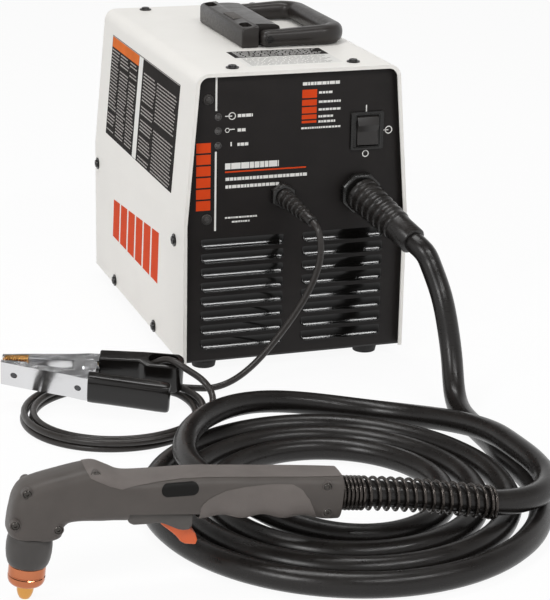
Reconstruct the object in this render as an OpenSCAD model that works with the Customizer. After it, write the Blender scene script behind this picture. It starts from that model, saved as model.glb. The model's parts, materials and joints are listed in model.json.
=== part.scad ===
// Plasma cutter unit: a folded steel case with a carrying handle, a hand torch on its
// coiled cable, and a work clamp on its coiled lead, laid out on the ground in front.
// Millimetres, +Z up. The case front faces -Y and the ground is z = 0.

/* [Case] */
// Width of the case at its base
case_w = 200; // [180:1:230]
// Width of the case across its top
top_w = 178; // [160:1:184]
// Depth of the cover, front edge to rear edge
case_d = 306; // [290:1:340]
// Height of the case above its feet
case_h = 251; // [236:1:280]
// Height at which the sides start to lean in
knee_h = 122; // [112:1:150]
// Outside radius of the top corners
case_r = 11; // [7:1:15]
// Thickness of the steel sheet
sheet = 1.2; // [0.8:0.1:2]
// Width of the turned-in edge round the front and the rear
rim_w = 3.2; // [2.4:0.1:4]
// How far the front and rear panels sit behind the cover's edge
panel_recess = 5; // [3:0.5:8]
// Thickness of the front panel
panel_t = 2; // [1.5:0.1:3]
// Length of the front panel's flange, behind its face
front_flange = 30; // [28:1:40]
// Length of the rear panel's flange, in front of its face
rear_flange = 16; // [14:1:24]
// Gap between the cover and what slides into it
fit_gap = 0.3; // [0.1:0.05:0.4]

/* [Base and feet] */
// Thickness of the base pan
base_t = 1.5; // [1:0.1:2.5]
// Height of the base pan's side lips
base_lip = 16; // [12:1:24]
// Diameter of a rubber foot
foot_d = 22; // [18:1:28]
// Height of a rubber foot
foot_h = 10; // [8:1:16]
// Distance of the feet from the case's middle plane
foot_x = 74.3; // [60:0.1:80]
// Distance of the feet from the front and rear edges
foot_y = 25; // [20:1:40]

/* [Screws] */
// Diameter of the cover screws
screw_d = 4; // [3:0.1:4.6]
// Diameter of a cover screw's flange
screw_head_d = 11; // [9:0.5:12]
// Gap between a screw and its hole
screw_gap = 0.2; // [0.1:0.05:0.3]
// Distance of the top screws from the middle plane
top_screw_x = 53.4; // [40:0.1:66]
// Distance of the top screws from the front and rear edges
top_screw_y = [18.6, 13.2];
// Distance of the upper side screws from the front and rear edges
side_screw_y = [28, 10];
// Height of the upper side screws above the case's bottom
side_screw_z = 103.5; // [90:0.5:110]
// Positions of the lower side screws along the depth
low_screw_y = [93, 232];
// Height of the lower side screws above the case's bottom
low_screw_z = 5; // [5:0.5:8]

/* [Louvres] */
// Number of rows of louvres
louvre_rows = 8; // [4:1:8]
// Distance from row to row
louvre_pitch = 12.7; // [12:0.1:13]
// Length of one louvre
louvre_w = 73.5; // [50:0.5:80]
// Height of one louvre
louvre_h = 10.4; // [7:0.1:11]
// How far a louvre stands out of the panel
louvre_out = 4.5; // [3:0.1:6]
// Middle of each column of louvres
louvre_x = [-46.8, 43.5];
// Top of the first row above the case's bottom
louvre_top = 110.6; // [106:0.2:114]

/* [Front fittings] */
// Diameter of an indicator lens
lens_d = 5.2; // [4:0.2:7]
// Sideways place of the indicator lenses
lens_x = -69.6; // [-76:0.2:-60]
// Heights of the indicator lenses above the case's bottom
lens_z = [213.6, 201.7, 189.3];
// Places of the two front screws, across and above the case's bottom
front_screw_at = [[-78.2, 228.3], [-78.8, 126.2]];
// Diameter of a front screw's head
front_head_d = 8; // [6:0.2:9]
// Middle of the power switch, across and above the case's bottom
switch_at = [62.2, 194.6];
// Width and height of the switch bezel
bezel_size = [29.3, 32.6];
// How far the bezel stands out
bezel_out = 2; // [1.5:0.1:3]
// Width of the rocker
rocker_w = 19; // [15:0.5:21]
// Radius of the rocker about its pivot
rocker_r = 13; // [11:0.1:13.4]
// Tilt of the rocker either way
rocker_tilt = 7; // [5:0.5:9]
// Diameter of the rocker's axle
rocker_axle_d = 3; // [2:0.1:4]

/* [Handle] */
// Width of the handle's base block
base_block_w = 38; // [34:1:42]
// Length of the handle's base block
base_block_l = 128; // [118:1:134]
// Height of the handle's base block
base_block_h = 19; // [16:0.1:20]
// Distance from the case's front edge to the handle's middle
handle_mid_y = 158; // [140:1:170]
// Thickness of the handle's bar
bar_t = 14; // [12:0.2:14.4]
// Outside length of the loop, along the case
loop_l = 136; // [132:1:140]
// Reach of the loop from its pivot to its outside
loop_reach = 74; // [64:1:76]
// Outside radius of the loop's corners
loop_r = 20; // [17:0.5:26]
// Sideways place of the handle's pivot
pivot_x = 3; // [0:0.5:5]
// Gap under the folded loop
loop_gap = 0.5; // [0.4:0.1:1]
// Diameter of the handle's pivot pins
pivot_d = 5; // [4:0.2:6]

/* [Glands] */
// Place of the work lead's gland, across and above the case's bottom
work_gland_at = [-12.5, 143];
// Diameter of the work lead's gland nut
work_nut_d = 20; // [17:0.5:24]
// Place of the torch cable's gland, across and above the case's bottom
torch_gland_at = [57, 141];
// Diameter of the torch cable's gland nut
torch_nut_d = 36; // [34:0.5:40]
// How far the gland nuts stand out of the panel
nut_out = 6; // [4:0.5:9]
// Root, end and length of the work lead's boot
work_boot = [16, 9.4, 43];
// Root, end and length of the torch cable's boot
torch_boot = [31, 24, 71];
// Place of the mains gland on the rear panel, across and above the case's bottom
mains_gland_at = [58, 40];
// Bore of the mains gland
mains_bore_d = 9; // [7:0.5:11]

/* [Cables] */
// Diameter of the torch cable
torch_cable_d = 18; // [14:0.5:18]
// Diameter of the work lead
work_cable_d = 5.5; // [4:0.1:5.8]

/* [Torch] */
// Place of the torch's tip on the ground, from the case's front middle
torch_at = [-316, -372];
// Rise of the handle's line, and its turn on the ground
torch_turn = [6, -2.2];
// Half the width of the handle
torch_half_w = 16.5; // [15.5:0.1:18]
// Diameter of the torch's screws
torch_screw_d = 2.4; // [2:0.1:2.8]
// Diameter of the heads of the torch's screws
torch_head_d = 5.2; // [4.4:0.1:5.6]
// Outside radius of the retaining cup at its top
cup_r = 14.6; // [14.2:0.1:15.5]
// Outside radius of the retaining cup where it meets the shield
cup_low_r = 12; // [11.6:0.1:13]
// Height of the retaining cup's lower and upper ends
cup_z = [25, 52];
// Height of the shield's lower end
shield_z = 11; // [9:0.5:13]
// Radius of the cutting tip's body
tip_r = 4.5; // [4:0.1:4.8]
// Width of the trigger
trigger_w = 26; // [20:0.5:27]
// Diameter of the trigger's pin
trigger_pin_d = 3; // [2.4:0.1:3.6]
// Width of the orange lock on the trigger
lock_w = 10; // [7:0.5:13]

/* [Torch spring] */
// Diameter of the spring's wire
spring_wire = 2.4; // [2:0.1:2.6]
// Outside diameter of the spring
spring_d = 24; // [23.8:0.1:26]
// Number of close curls at the handle, spaced curls, and close curls at the end
spring_curls = [6, 14, 2];
// Length of the spring
spring_l = 118; // [110:1:130]

/* [Clamp] */
// Place of the clamp's pivot, from the case's front middle
clamp_at = [-196, -45, 26.5];
// Tilt and turn of the clamp on its coil
clamp_turn = [19, 4, -20];
// Width of the steel halves along the pivot
clamp_w = 23; // [21:0.5:25]
// Thickness of the clamp's steel
clamp_t = 1.2; // [1:0.1:1.6]
// Radius of the ears round the pivot
ear_r = 10; // [9:0.5:11]
// Diameter of the clamp's pivot
clamp_pin_d = 5; // [4:0.2:6]
// Wall of the clamp's sleeves
sleeve_t = 1.6; // [1.3:0.1:2]
// Diameter of the clamp spring's wire
clamp_wire = 1.8; // [1.4:0.1:2.2]
// Outside diameter of the clamp spring's curls
clamp_spring_d = 13; // [12:0.5:15]
// Number of curls of the clamp spring
clamp_curls = 4; // [2:1:5]

/* [Inside the case] */
// Size of the power board
board_size = [74, 180, 1.6];
// Room from the power board to the cover's side, to the cover's front and to the bottom
board_room = [6, 60, 50];
// Diameter and height of a capacitor
cap_size = [30, 45];
// Size of the heat sink
sink_size = [30, 120, 48];
// Width of the fan's frame
fan_w = 80; // [70:1:90]
// Thickness of the fan's frame
fan_t = 25; // [20:1:30]
// Middle of the fan, across and above the case's bottom
fan_at = [-46, 150];
// Diameter of the fan's shaft
fan_shaft_d = 3; // [2:0.1:4]
// Size of the transformer's core
core_size = [60, 26, 60];
// Width of one leg of the transformer's core
core_leg = 12; // [9:0.5:14]
// Diameter and length of the compressor's motor
motor_size = [44, 70];
// Place of the motor's front end, from the case's front middle and bottom
motor_at = [54, 150, 42];
// Diameter of the motor's shaft
shaft_d = 6; // [4:0.2:8]
// Diameter of the air tube
air_tube_d = 8; // [6:0.5:10]

/* [Hidden] */
$fn = 48;
eps = 0.01;
// Overshoot of a cut past the face that it opens
over = 1;

// Place of the case's front middle in the part's frame
case_x = 112;
case_y = 41.6;

// Colours
case_white = [0.93, 0.92, 0.89];
panel_dark = [0.14, 0.13, 0.13];
black = [0.11, 0.11, 0.12];
torch_grey = [0.24, 0.23, 0.23];
trigger_grey = [0.42, 0.41, 0.40];
orange = [0.83, 0.32, 0.14];
steel = [0.72, 0.73, 0.74];
copper = [0.80, 0.50, 0.33];
brass = [0.78, 0.62, 0.30];
zinc = [0.78, 0.79, 0.80];
board_green = [0.10, 0.33, 0.20];
winding_red = [0.60, 0.28, 0.14];

// Lean of the case's upper sides
lean = atan((case_w - top_w) / 2 / (case_h - knee_h));
// Depth of the panels' faces and of the space between them
panel_y = panel_recess;
rear_y = case_d - panel_recess;
// Half of the switch's opening in the panel
switch_hole = [bezel_size[0] / 2 - 2, bezel_size[1] / 2 - 2];
// Running clearance between a pin and its bore
run_gap = 0.05;

// ---- shared shapes -------------------------------------------------------------

// Puts children in the case's frame, above the ground by the feet's height
module at_case(z = foot_h) {
    translate([case_x, case_y, z]) children();
}

// Puts children in the ground frame of the case's front middle
module at_ground() {
    translate([case_x, case_y, 0]) children();
}

// Extrudes an outline drawn across and up, from depth y0 to depth y1
module along_y(y0, y1) {
    translate([0, y1, 0]) rotate([90, 0, 0]) linear_extrude(y1 - y0) children();
}

// Extrudes an outline drawn along depth and up, from x0 to x1
module along_x(x0, x1) {
    translate([x0, 0, 0]) rotate([90, 0, 90]) linear_extrude(x1 - x0) children();
}

// A cylinder along the depth
module rod_y(d, y0, y1) {
    translate([0, y1, 0]) rotate([90, 0, 0]) cylinder(d = d, h = y1 - y0);
}

// A rectangle with round corners, centred
module rounded(size, r) {
    square([size[0] - 2 * r, size[1]], center = true);
    square([size[0], size[1] - 2 * r], center = true);
    for (sx = [-1, 1], sy = [-1, 1])
        translate([sx * (size[0] / 2 - r), sy * (size[1] / 2 - r)]) circle(r);
}

// Outline of the case seen from the front, drawn in by a distance, from a height up
module case_outline(inset = 0, bottom = 0) {
    half = case_w / 2 - inset;
    r = max(case_r - inset, over);
    top = case_h - inset;
    corner_z = top - r;
    corner_x = half - (corner_z - knee_h) * tan(lean) - r / cos(lean);
    side = [corner_x + r * cos(lean), corner_z + r * sin(lean)];
    polygon([[-half, bottom], [half, bottom], [half, knee_h], side, [corner_x, top],
        [-corner_x, top], [-side[0], side[1]], [-half, knee_h]]);
    for (s = [-1, 1]) translate([s * corner_x, corner_z]) circle(r + eps);
}

// A screw whose shaft points down from z = 0, with a cross in its head
module screw(head_d, shaft_d, shaft_l, head_h = 2.8, washer_h = 1) {
    cross = head_d * 0.4;
    slot = head_d * 0.09;
    difference() {
        rotate_extrude()
            polygon([[0, -shaft_l], [shaft_d / 2, -shaft_l], [shaft_d / 2, 0], [head_d / 2, 0],
                [head_d / 2, washer_h], [head_d * 0.36, washer_h * 1.2],
                [head_d * 0.3, head_h * 0.9], [0, head_h]]);
        for (a = [0, 90])
            rotate([0, 0, a]) translate([0, 0, head_h])
                cube([cross, slot, head_h], center = true);
    }
}

// Corner of the power board, from the case's front middle and bottom
board_at = [board_room[0] - case_w / 2, board_room[1], board_room[2]];

// Places of the cover screws: a point on the skin and a turn that sends z outward
top_screw_places = [for (sx = [-1, 1], y = [top_screw_y[0], case_d - top_screw_y[1]])
    [sx * top_screw_x, y]];
side_screw_places = [for (p = [[side_screw_y[0], side_screw_z],
    [case_d - side_screw_y[1], side_screw_z], [low_screw_y[0], low_screw_z],
    [low_screw_y[1], low_screw_z]]) p];
foot_places = [for (sx = [-1, 1], y = [foot_y, case_d - foot_y]) [sx * foot_x, y]];

// Children at every cover screw, z outward
module at_cover_screws() {
    for (p = top_screw_places) translate([p[0], p[1], case_h]) children();
    for (s = [-1, 1], p = side_screw_places)
        translate([s * case_w / 2, p[0], p[1]]) rotate([0, s * 90, 0]) children();
}

// Holes through the skin and the flange at every cover screw
module cover_screw_holes() {
    at_cover_screws() translate([0, 0, -screw_l - over])
        cylinder(d = screw_d + 2 * screw_gap, h = screw_l + 2 * over);
}
screw_l = 8;

// ---- cable and spring sweeps ---------------------------------------------------

function unit(v) = v / norm(v);
// A point turned about X, then Y, then Z
function turned(v, t) = let (y = v[1] * cos(t[0]) - v[2] * sin(t[0]),
    h = v[1] * sin(t[0]) + v[2] * cos(t[0]), x = v[0] * cos(t[1]) + h * sin(t[1]))
    [x * cos(t[2]) - y * sin(t[2]), x * sin(t[2]) + y * cos(t[2]),
        h * cos(t[1]) - v[0] * sin(t[1])];
// A point on the smooth curve through a route, u steps after point i
function curve_at(p, i, u) = let (n = len(p) - 1, a = p[max(i - 1, 0)], b = p[i],
    c = p[min(i + 1, n)], d = p[min(i + 2, n)])
    0.5 * (2 * b + (c - a) * u + (2 * a - 5 * b + 4 * c - d) * u * u
        + (3 * b - a - 3 * c + d) * u * u * u);
// The smooth curve through a route, with a number of steps per stretch
function smooth_route(p, steps) = concat(
    [for (i = [0 : len(p) - 2], k = [0 : steps - 1]) curve_at(p, i, k / steps)],
    [p[len(p) - 1]]);
// Direction of a path at one of its points; e holds the points before and after it, if any
function way(p, i, e) = unit((i < len(p) - 1 ? p[i + 1] : is_undef(e[1]) ? p[i] : e[1])
    - (i > 0 ? p[i - 1] : is_undef(e[0]) ? p[i] : e[0]));
// A direction square to w that stays as close as it can to v
function square_to(v, w) = unit(v - (v * w) * w);
// Side directions carried along a path without twist
function side_ways(p, e, i = 0, last = [0, 0, 1], out = []) = i == len(p) ? out :
    let (w = way(p, i, e), v = square_to(last, w)) side_ways(p, e, i + 1, v, concat(out, [v]));
// A closed tube round a path, as triangles, which meets the tubes before and after it
module tube(p, d, sides, first = [0, 0, 1], ends = []) {
    up = side_ways(p, ends, 0, first);
    n = len(p);
    rings = [for (i = [0 : n - 1]) let (w = way(p, i, ends), u = up[i], v = cross(w, u))
        for (k = [0 : sides - 1]) let (a = 360 * (k + 0.5) / sides)
            p[i] + d / 2 * (cos(a) * u + sin(a) * v)];
    walls = [for (i = [0 : n - 2], k = [0 : sides - 1])
        let (a = i * sides + k, b = i * sides + (k + 1) % sides)
            for (t = [[a, a + sides, b], [b, a + sides, b + sides]]) t];
    caps = [for (k = [1 : sides - 2])
        for (t = [[0, k, k + 1], [(n - 1) * sides, (n - 1) * sides + k + 1,
            (n - 1) * sides + k]]) t];
    polyhedron(rings, concat(walls, caps));
}
// Least distance of a path to itself, leaving out points closer along it than skip steps
function least_gap(p, skip, d) = min([for (i = [0 : len(p) - 1 - skip])
    for (j = [i + skip : len(p) - 1]) norm(p[i] - p[j])]) - d;

// Route of the torch cable from its boot to its coil
boot_way = [25, -64, -28];
torch_lead_route = [[89, -76, 113], [93, -100, 85], [95, -118, 45], [90, -140, 16], [86, -165, 9],
    [84, -200, 9], [83, -232, 9]];
// Middle, reach, pitch, side scale and first angle of the torch cable's coil
coil_at = [-67, -290];
coil_reach = 157;
coil_pitch = 24;
coil_squeeze = 0.95;
coil_start = 12;
// Reach and height of the last loop, eighth by eighth: it climbs over the others, runs
// along their outside at the back, and ends over the coil's start
coil_flat_turns = 3;
coil_last_loop = [[85, 9], [81, 9], [77, 9], [76, 13], [90, 27], [122, 29], [150, 28],
    [164, 13], [152, 28]];
coil_turns = coil_flat_turns + (len(coil_last_loop) - 1) / 8;
// Route of the torch cable from its coil to the spring's end
torch_tail_route = [[77, -288, 28], [78, -316, 28], [73, -346, 28], [58, -369, 29],
    [37, -381, 30.5]];
// Route of the work lead from its boot to its coil
work_lead_route = [[2, -50, 133], [3, -52, 120], [1, -52, 105], [-6, -51, 86], [-17, -49, 66],
    [-32, -46, 44], [-50, -44, 23], [-68, -42, 9], [-86, -40, 3], [-104, -34, 2.8],
    [-122, -25, 2.8]];
// Middle, reach, pitch, lift and first angle of the work lead's coil
work_coil_at = [-178.5, -79];
work_coil_reach = [77, 74];
work_coil_pitch = 7.3;
work_coil_lift = 6;
work_coil_start = 60;
work_coil_turns = 3 + 17 / 24;
// Route of the work lead from its coil up to the clamp, then in the clamp's own frame
work_tail_rise = [[-107, -106, 12.5], [-102.5, -94, 18.5], [-107, -82.5, 27]];
work_tail_inside = [[81, 2.5, 15.3], [71, 8.5, 17], [62, 13, 14], [53, 14.2, 7.2], [45, 14.2, 4.9],
    [36, 13.8, 4.3]];

// ---- the case ------------------------------------------------------------------

module wrapper() {
    color(case_white) at_case() difference() {
        along_y(0, case_d) case_outline();
        along_y(sheet, case_d - sheet) case_outline(sheet, -over);
        along_y(-over, case_d + over) case_outline(rim_w, -over);
        cover_screw_holes();
    }
}

// One louvre's hood, its origin at the top of the hood on the panel's face
module louvre_hood() {
    along_x(-louvre_w / 2, louvre_w / 2)
        polygon([[eps, 0], [-louvre_out, sheet - louvre_h], [-louvre_out, -louvre_h],
            [eps, -louvre_h]]);
}

// The hollow under one louvre's hood, and its slot through the panel
module louvre_hollow() {
    deep = louvre_out - sheet;
    along_x(sheet - louvre_w / 2, louvre_w / 2 - sheet)
        polygon([[panel_t + over, -2 * sheet], [0, -2 * sheet], [-deep, 2 * sheet - louvre_h],
            [-deep, -louvre_h - over], [0, -louvre_h - over], [0, -louvre_h],
            [panel_t + over, -louvre_h]]);
}

// Children at every louvre
module at_louvres() {
    for (x = louvre_x, row = [0 : louvre_rows - 1])
        translate([x, panel_y, louvre_top - row * louvre_pitch]) children();
}

module front_panel() {
    inset = sheet + fit_gap;
    face_end = panel_y + panel_t;
    color(panel_dark) at_case() difference() {
        union() {
            along_y(panel_y, face_end) case_outline(inset, base_t);
            difference() {
                along_y(panel_y, panel_y + front_flange) case_outline(inset, base_t);
                along_y(panel_y - over, panel_y + front_flange + over)
                    case_outline(inset + panel_t, base_t + panel_t);
            }
            at_louvres() louvre_hood();
        }
        at_louvres() louvre_hollow();
        cover_screw_holes();
        foot_screw_holes(base_t + panel_t);
        for (z = lens_z) translate([lens_x, 0, z]) rod_y(lens_d + fit_gap, 0, face_end + over);
        for (p = front_screw_at) translate([p[0], 0, p[1]])
            rod_y(front_shank_d + 2 * screw_gap, 0, face_end + over);
        translate([switch_at[0], 0, switch_at[1]]) along_y(0, face_end + over)
            square([2 * switch_hole[0], 2 * switch_hole[1]], center = true);
        translate([work_gland_at[0], 0, work_gland_at[1]])
            rod_y(work_sleeve_d + 2 * fit_gap, 0, face_end + over);
        translate([torch_gland_at[0], 0, torch_gland_at[1]])
            rod_y(torch_sleeve_d + 2 * fit_gap, 0, face_end + over);
    }
}
front_shank_d = 3.5;
work_sleeve_d = 12;
torch_sleeve_d = 26;

module rear_panel() {
    inset = sheet + fit_gap;
    slot_h = 5;
    slot_pitch = 8;
    slot_rows = 4;
    slot_reach = fan_w / 2 - 4;
    color(case_white) at_case() difference() {
        union() {
            along_y(rear_y - sheet, rear_y) case_outline(inset, base_t);
            difference() {
                along_y(rear_y - rear_flange, rear_y) case_outline(inset, base_t);
                along_y(rear_y - rear_flange - over, rear_y + over)
                    case_outline(inset + sheet, base_t + sheet);
            }
        }
        cover_screw_holes();
        for (row = [-slot_rows : slot_rows]) {
            half = sqrt(slot_reach * slot_reach - pow(row * slot_pitch, 2));
            for (side = [-1, 1])
                translate([fan_at[0] + side * (half + 3) / 2, 0, fan_at[1] + row * slot_pitch])
                    along_y(rear_y - sheet - over, rear_y + over)
                        square([max(half - 3, 2), slot_h], center = true);
        }
        translate([mains_gland_at[0], 0, mains_gland_at[1]])
            rod_y(mains_sleeve_d + 2 * fit_gap, rear_y - sheet - over, rear_y + over);
    }
}
mains_sleeve_d = 16;

module base_pan() {
    half = case_w / 2 - sheet - fit_gap;
    lip_y0 = panel_y + front_flange + fit_gap;
    lip_y1 = rear_y - rear_flange - fit_gap;
    color(panel_dark) at_case() difference() {
        union() {
            translate([-half, panel_y, 0]) cube([2 * half, rear_y - panel_y, base_t]);
            for (s = [-1, 1])
                translate([s * (half - base_t / 2) - base_t / 2, lip_y0, 0])
                    cube([base_t, lip_y1 - lip_y0, base_lip]);
        }
        cover_screw_holes();
        foot_screw_holes(base_t);
    }
}

// Holes for the foot screws, from the ground side up to height h
module foot_screw_holes(h) {
    for (p = foot_places) translate([p[0], p[1], -over])
        cylinder(d = screw_d + 2 * screw_gap, h = h + 2 * over);
}

// A sheet that stands on the base pan and parts the electronics from the compressor
divider_x = -14;
divider_y = [45, 270];
divider_h = 200;
module divider() {
    foot_w = 14;
    color(zinc) at_case() translate([divider_x, divider_y[0], base_t]) union() {
        cube([sheet, divider_y[1] - divider_y[0], divider_h]);
        cube([foot_w, divider_y[1] - divider_y[0], sheet]);
    }
}

foot_recess_d = 13;
foot_recess_h = 5;
module feet() {
    taper = 1;
    color(black) at_ground() for (p = foot_places) translate([p[0], p[1], 0])
        rotate_extrude() polygon([[foot_recess_d / 2, 0], [foot_d / 2 - taper, 0],
            [foot_d / 2, foot_h / 2], [foot_d / 2, foot_h],
            [screw_d / 2 + screw_gap, foot_h],
            [screw_d / 2 + screw_gap, foot_recess_h], [foot_recess_d / 2, foot_recess_h]]);
}

module case_screws() {
    foot_screw_l = foot_h - foot_recess_h + base_t + 2;
    color(black) {
        at_case() at_cover_screws() screw(screw_head_d, screw_d, screw_l);
        at_ground() for (p = foot_places) translate([p[0], p[1], foot_recess_h])
            rotate([180, 0, 0]) screw(screw_head_d, screw_d, foot_screw_l);
    }
}

module front_screws() {
    shank_l = 6;
    color(black) at_case() for (p = front_screw_at)
        translate([p[0], panel_y, p[1]]) rotate([90, 0, 0])
            screw(front_head_d, front_shank_d, shank_l, 2.2, 0.8);
}

module indicator_lenses() {
    rim_h = 0.8;
    dome = 1;
    color(black) at_case() for (z = lens_z) translate([lens_x, panel_y, z])
        rotate([90, 0, 0]) union() {
            translate([0, 0, -panel_t - over]) cylinder(d = lens_d, h = panel_t + over);
            cylinder(d = lens_d + dome, h = rim_h);
            translate([0, 0, rim_h]) cylinder(d1 = lens_d, d2 = lens_d - 2 * dome, h = dome);
        }
}

// ---- power switch --------------------------------------------------------------

// Depth of the rocker's pivot behind the panel's face, and of the well behind it
rocker_pivot_y = 1;
rocker_well = 9;
rocker_gap = 0.5;
module at_switch() {
    at_case() translate([switch_at[0], panel_y, switch_at[1]]) children();
}

module switch_body() {
    wall = 1.5;
    well_half = [rocker_w / 2 + rocker_gap, rocker_r + rocker_gap];
    body_end = rocker_pivot_y + rocker_well + wall;
    terminal = [1, 8, 6];
    color(black) at_switch() difference() {
        union() {
            along_y(-bezel_out, 0) rounded(bezel_size, 2);
            along_y(-eps, body_end) square([2 * switch_hole[0] - fit_gap,
                2 * switch_hole[1] - fit_gap], center = true);
            for (s = [-1, 1]) translate([-terminal[0] / 2, body_end - eps, s * 6 - terminal[2] / 2])
                cube(terminal);
        }
        along_y(-bezel_out - over, rocker_pivot_y + rocker_well)
            square(2 * well_half, center = true);
        translate([-well_half[0] - wall, rocker_pivot_y, 0]) rotate([0, 90, 0])
            cylinder(d = rocker_axle_d + 2 * run_gap, h = 2 * (well_half[0] + wall));
    }
}

module switch_rocker() {
    axle = rocker_w + 2 * rocker_gap + 1.6;
    back = 3.5;
    dip = 4;
    crest = 7;
    color(black) at_switch() translate([0, rocker_pivot_y, 0]) rotate([rocker_tilt, 0, 0])
        union() {
            along_x(-rocker_w / 2, rocker_w / 2) intersection() {
                circle(rocker_r);
                polygon([[back, -rocker_r], [back, rocker_r], [-crest, rocker_r], [-dip, 0],
                    [-crest, -rocker_r]]);
            }
            translate([-axle / 2, 0, 0]) rotate([0, 90, 0]) cylinder(d = rocker_axle_d, h = axle);
        }
}

// ---- carrying handle -----------------------------------------------------------

pivot_z = bar_t / 2 + loop_gap;
arm_y = (loop_l - bar_t) / 2;
module at_handle() {
    at_case() translate([0, handle_mid_y, case_h]) children();
}
// Clear width between the loop's arms
arm_inner = loop_l / 2 - bar_t;
// Left edge of the base block
block_x0 = pivot_x - 24;
pocket_x = pivot_x - bar_t / 2 - 2;

module handle_base() {
    crown_r = 110;
    edge = 4;
    slot = [4, 16, 2.5];
    half_l = base_block_l / 2;
    color(black) at_handle() difference() {
        intersection() {
            along_y(-half_l, half_l) translate([block_x0 + base_block_w / 2, 0])
                intersection() {
                    translate([0, base_block_h / 2 - edge / 2])
                        rounded([base_block_w, base_block_h + edge], edge);
                    translate([-base_block_w, 0]) square([2 * base_block_w, 2 * base_block_h]);
                    translate([0, base_block_h - crown_r]) circle(crown_r, $fn = 96);
                }
            translate([block_x0 + base_block_w / 2, 0, -over])
                linear_extrude(base_block_h + 2 * over)
                    rounded([base_block_w, base_block_l], 5);
        }
        for (s = [-1, 1]) {
            translate([pocket_x, s > 0 ? arm_inner - fit_gap : -half_l - over, -over])
                cube([base_block_w, half_l - arm_inner + fit_gap + over,
                    base_block_h + 2 * over]);
            translate([pivot_x, 0, pivot_z]) rod_y(pivot_d + 2 * run_gap,
                s > 0 ? arm_inner - pin_depth : -arm_inner - over,
                s > 0 ? arm_inner + over : -arm_inner + pin_depth);
            translate([block_x0 + 5, s * (half_l - 14) - slot[1] / 2, base_block_h - 2 - slot[2]])
                cube([slot[0], slot[1], 2 * slot[2]]);
        }
    }
}
pin_depth = 10;

// The section of the handle's bar, with bevelled corners
module bar_section() {
    half = bar_t / 2;
    flat = half * 0.5;
    polygon([[half, -flat], [half, flat], [flat, half], [-flat, half], [-half, flat],
        [-half, -flat], [-flat, -half], [flat, -half]]);
}

module handle_loop() {
    corner = loop_r - bar_t / 2;
    far_x = loop_reach - bar_t / 2;
    turn_x = far_x - corner;
    turn_y = arm_y - corner;
    color(black) at_handle() translate([pivot_x, 0, pivot_z]) difference() {
        union() {
            for (s = [-1, 1]) {
                translate([0, s * arm_y, 0]) rotate([90, 0, 90])
                    linear_extrude(turn_x) bar_section();
                translate([0, s * arm_y - bar_t / 2, 0]) rod_y(bar_t, 0, bar_t);
                translate([turn_x, s * turn_y, 0]) rotate([0, 0, s > 0 ? 0 : -90])
                    rotate_extrude(angle = 90) translate([corner, 0]) bar_section();
            }
            translate([far_x, 0, 0]) along_y(-turn_y, turn_y) bar_section();
        }
        for (s = [-1, 1]) translate([0, s * arm_y - bar_t / 2 - over, 0])
            rod_y(pivot_d + 2 * run_gap, 0, bar_t + 2 * over);
    }
}

module handle_pins() {
    head_h = 1;
    color(steel) at_handle() for (s = [-1, 1])
        translate([pivot_x, 0, pivot_z]) mirror([0, s > 0 ? 0 : 1, 0]) {
            rod_y(pivot_d, arm_inner - pin_depth + over, loop_l / 2 + head_h);
            rod_y(pivot_d + 2, loop_l / 2, loop_l / 2 + head_h);
        }
}

// ---- glands and boots ----------------------------------------------------------

// A gland nut whose sleeve passes through the panel, at a place on the panel
module gland(at, nut_d, sleeve_d, bore_d) {
    sleeve_l = panel_t + 8;
    lock_h = 4;
    lip = 1.5;
    at_case() translate([at[0], panel_y, at[1]]) rotate([90, 0, 0]) difference() {
        union() {
            rotate_extrude() polygon([[0, -sleeve_l], [sleeve_d / 2, -sleeve_l],
                [sleeve_d / 2, 0], [nut_d / 2, 0], [nut_d / 2, nut_out - lip],
                [nut_d / 2 - lip, nut_out], [0, nut_out]]);
            translate([0, 0, -panel_t - lock_h])
                cylinder(d = nut_d, h = lock_h, $fn = 6);
        }
        translate([0, 0, -sleeve_l - over]) cylinder(d = bore_d, h = sleeve_l + nut_out + 2 * over);
    }
}

// A ribbed boot that leaves the nut's face along a direction
module boot(at, way_out, size, ribs, reach) {
    w = unit(way_out);
    tilt = acos(-w[1]);
    turn = atan2(w[2], w[0]);
    root = size[0] / 2;
    tip = size[1] / 2;
    rib = 0.9;
    ribbed = size[2] * reach;
    step = ribbed / ribs;
    profile = concat([[0, -root], [root, -root], [root, 0]],
        [for (i = [0 : ribs - 1]) let (z = i * step, r = root + (tip - root) * z / size[2])
            for (q = [[r, z + step * 0.15], [r, z + step * 0.6],
                [r - rib, z + step * 0.7], [r - rib, z + step * 0.95]]) q],
        [[tip, ribbed + step * 0.3], [tip, size[2] - 1], [tip - 1, size[2]], [0, size[2]]]);
    at_case() difference() {
        translate([at[0], panel_y - nut_out, at[1]]) rotate([90, 0, 0])
            rotate([0, 0, turn]) rotate([0, tilt, 0]) rotate_extrude() polygon(profile);
        translate([at[0], panel_y - nut_out + case_w, at[1]]) cube(2 * case_w, center = true);
    }
}

module work_gland_nut() {
    color(black) gland(work_gland_at, work_nut_d, work_sleeve_d, work_cable_d + 2 * fit_gap);
}
module torch_gland_nut() {
    color(black) gland(torch_gland_at, torch_nut_d, torch_sleeve_d, torch_cable_d + 2 * fit_gap);
}
work_boot_way = [12, -40, -12.5];
module work_strain_relief() {
    color(black) boot(work_gland_at, work_boot_way, work_boot, 6, 0.8);
}
module torch_strain_relief() {
    color(black) boot(torch_gland_at, boot_way, torch_boot, 7, 0.72);
}

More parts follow.
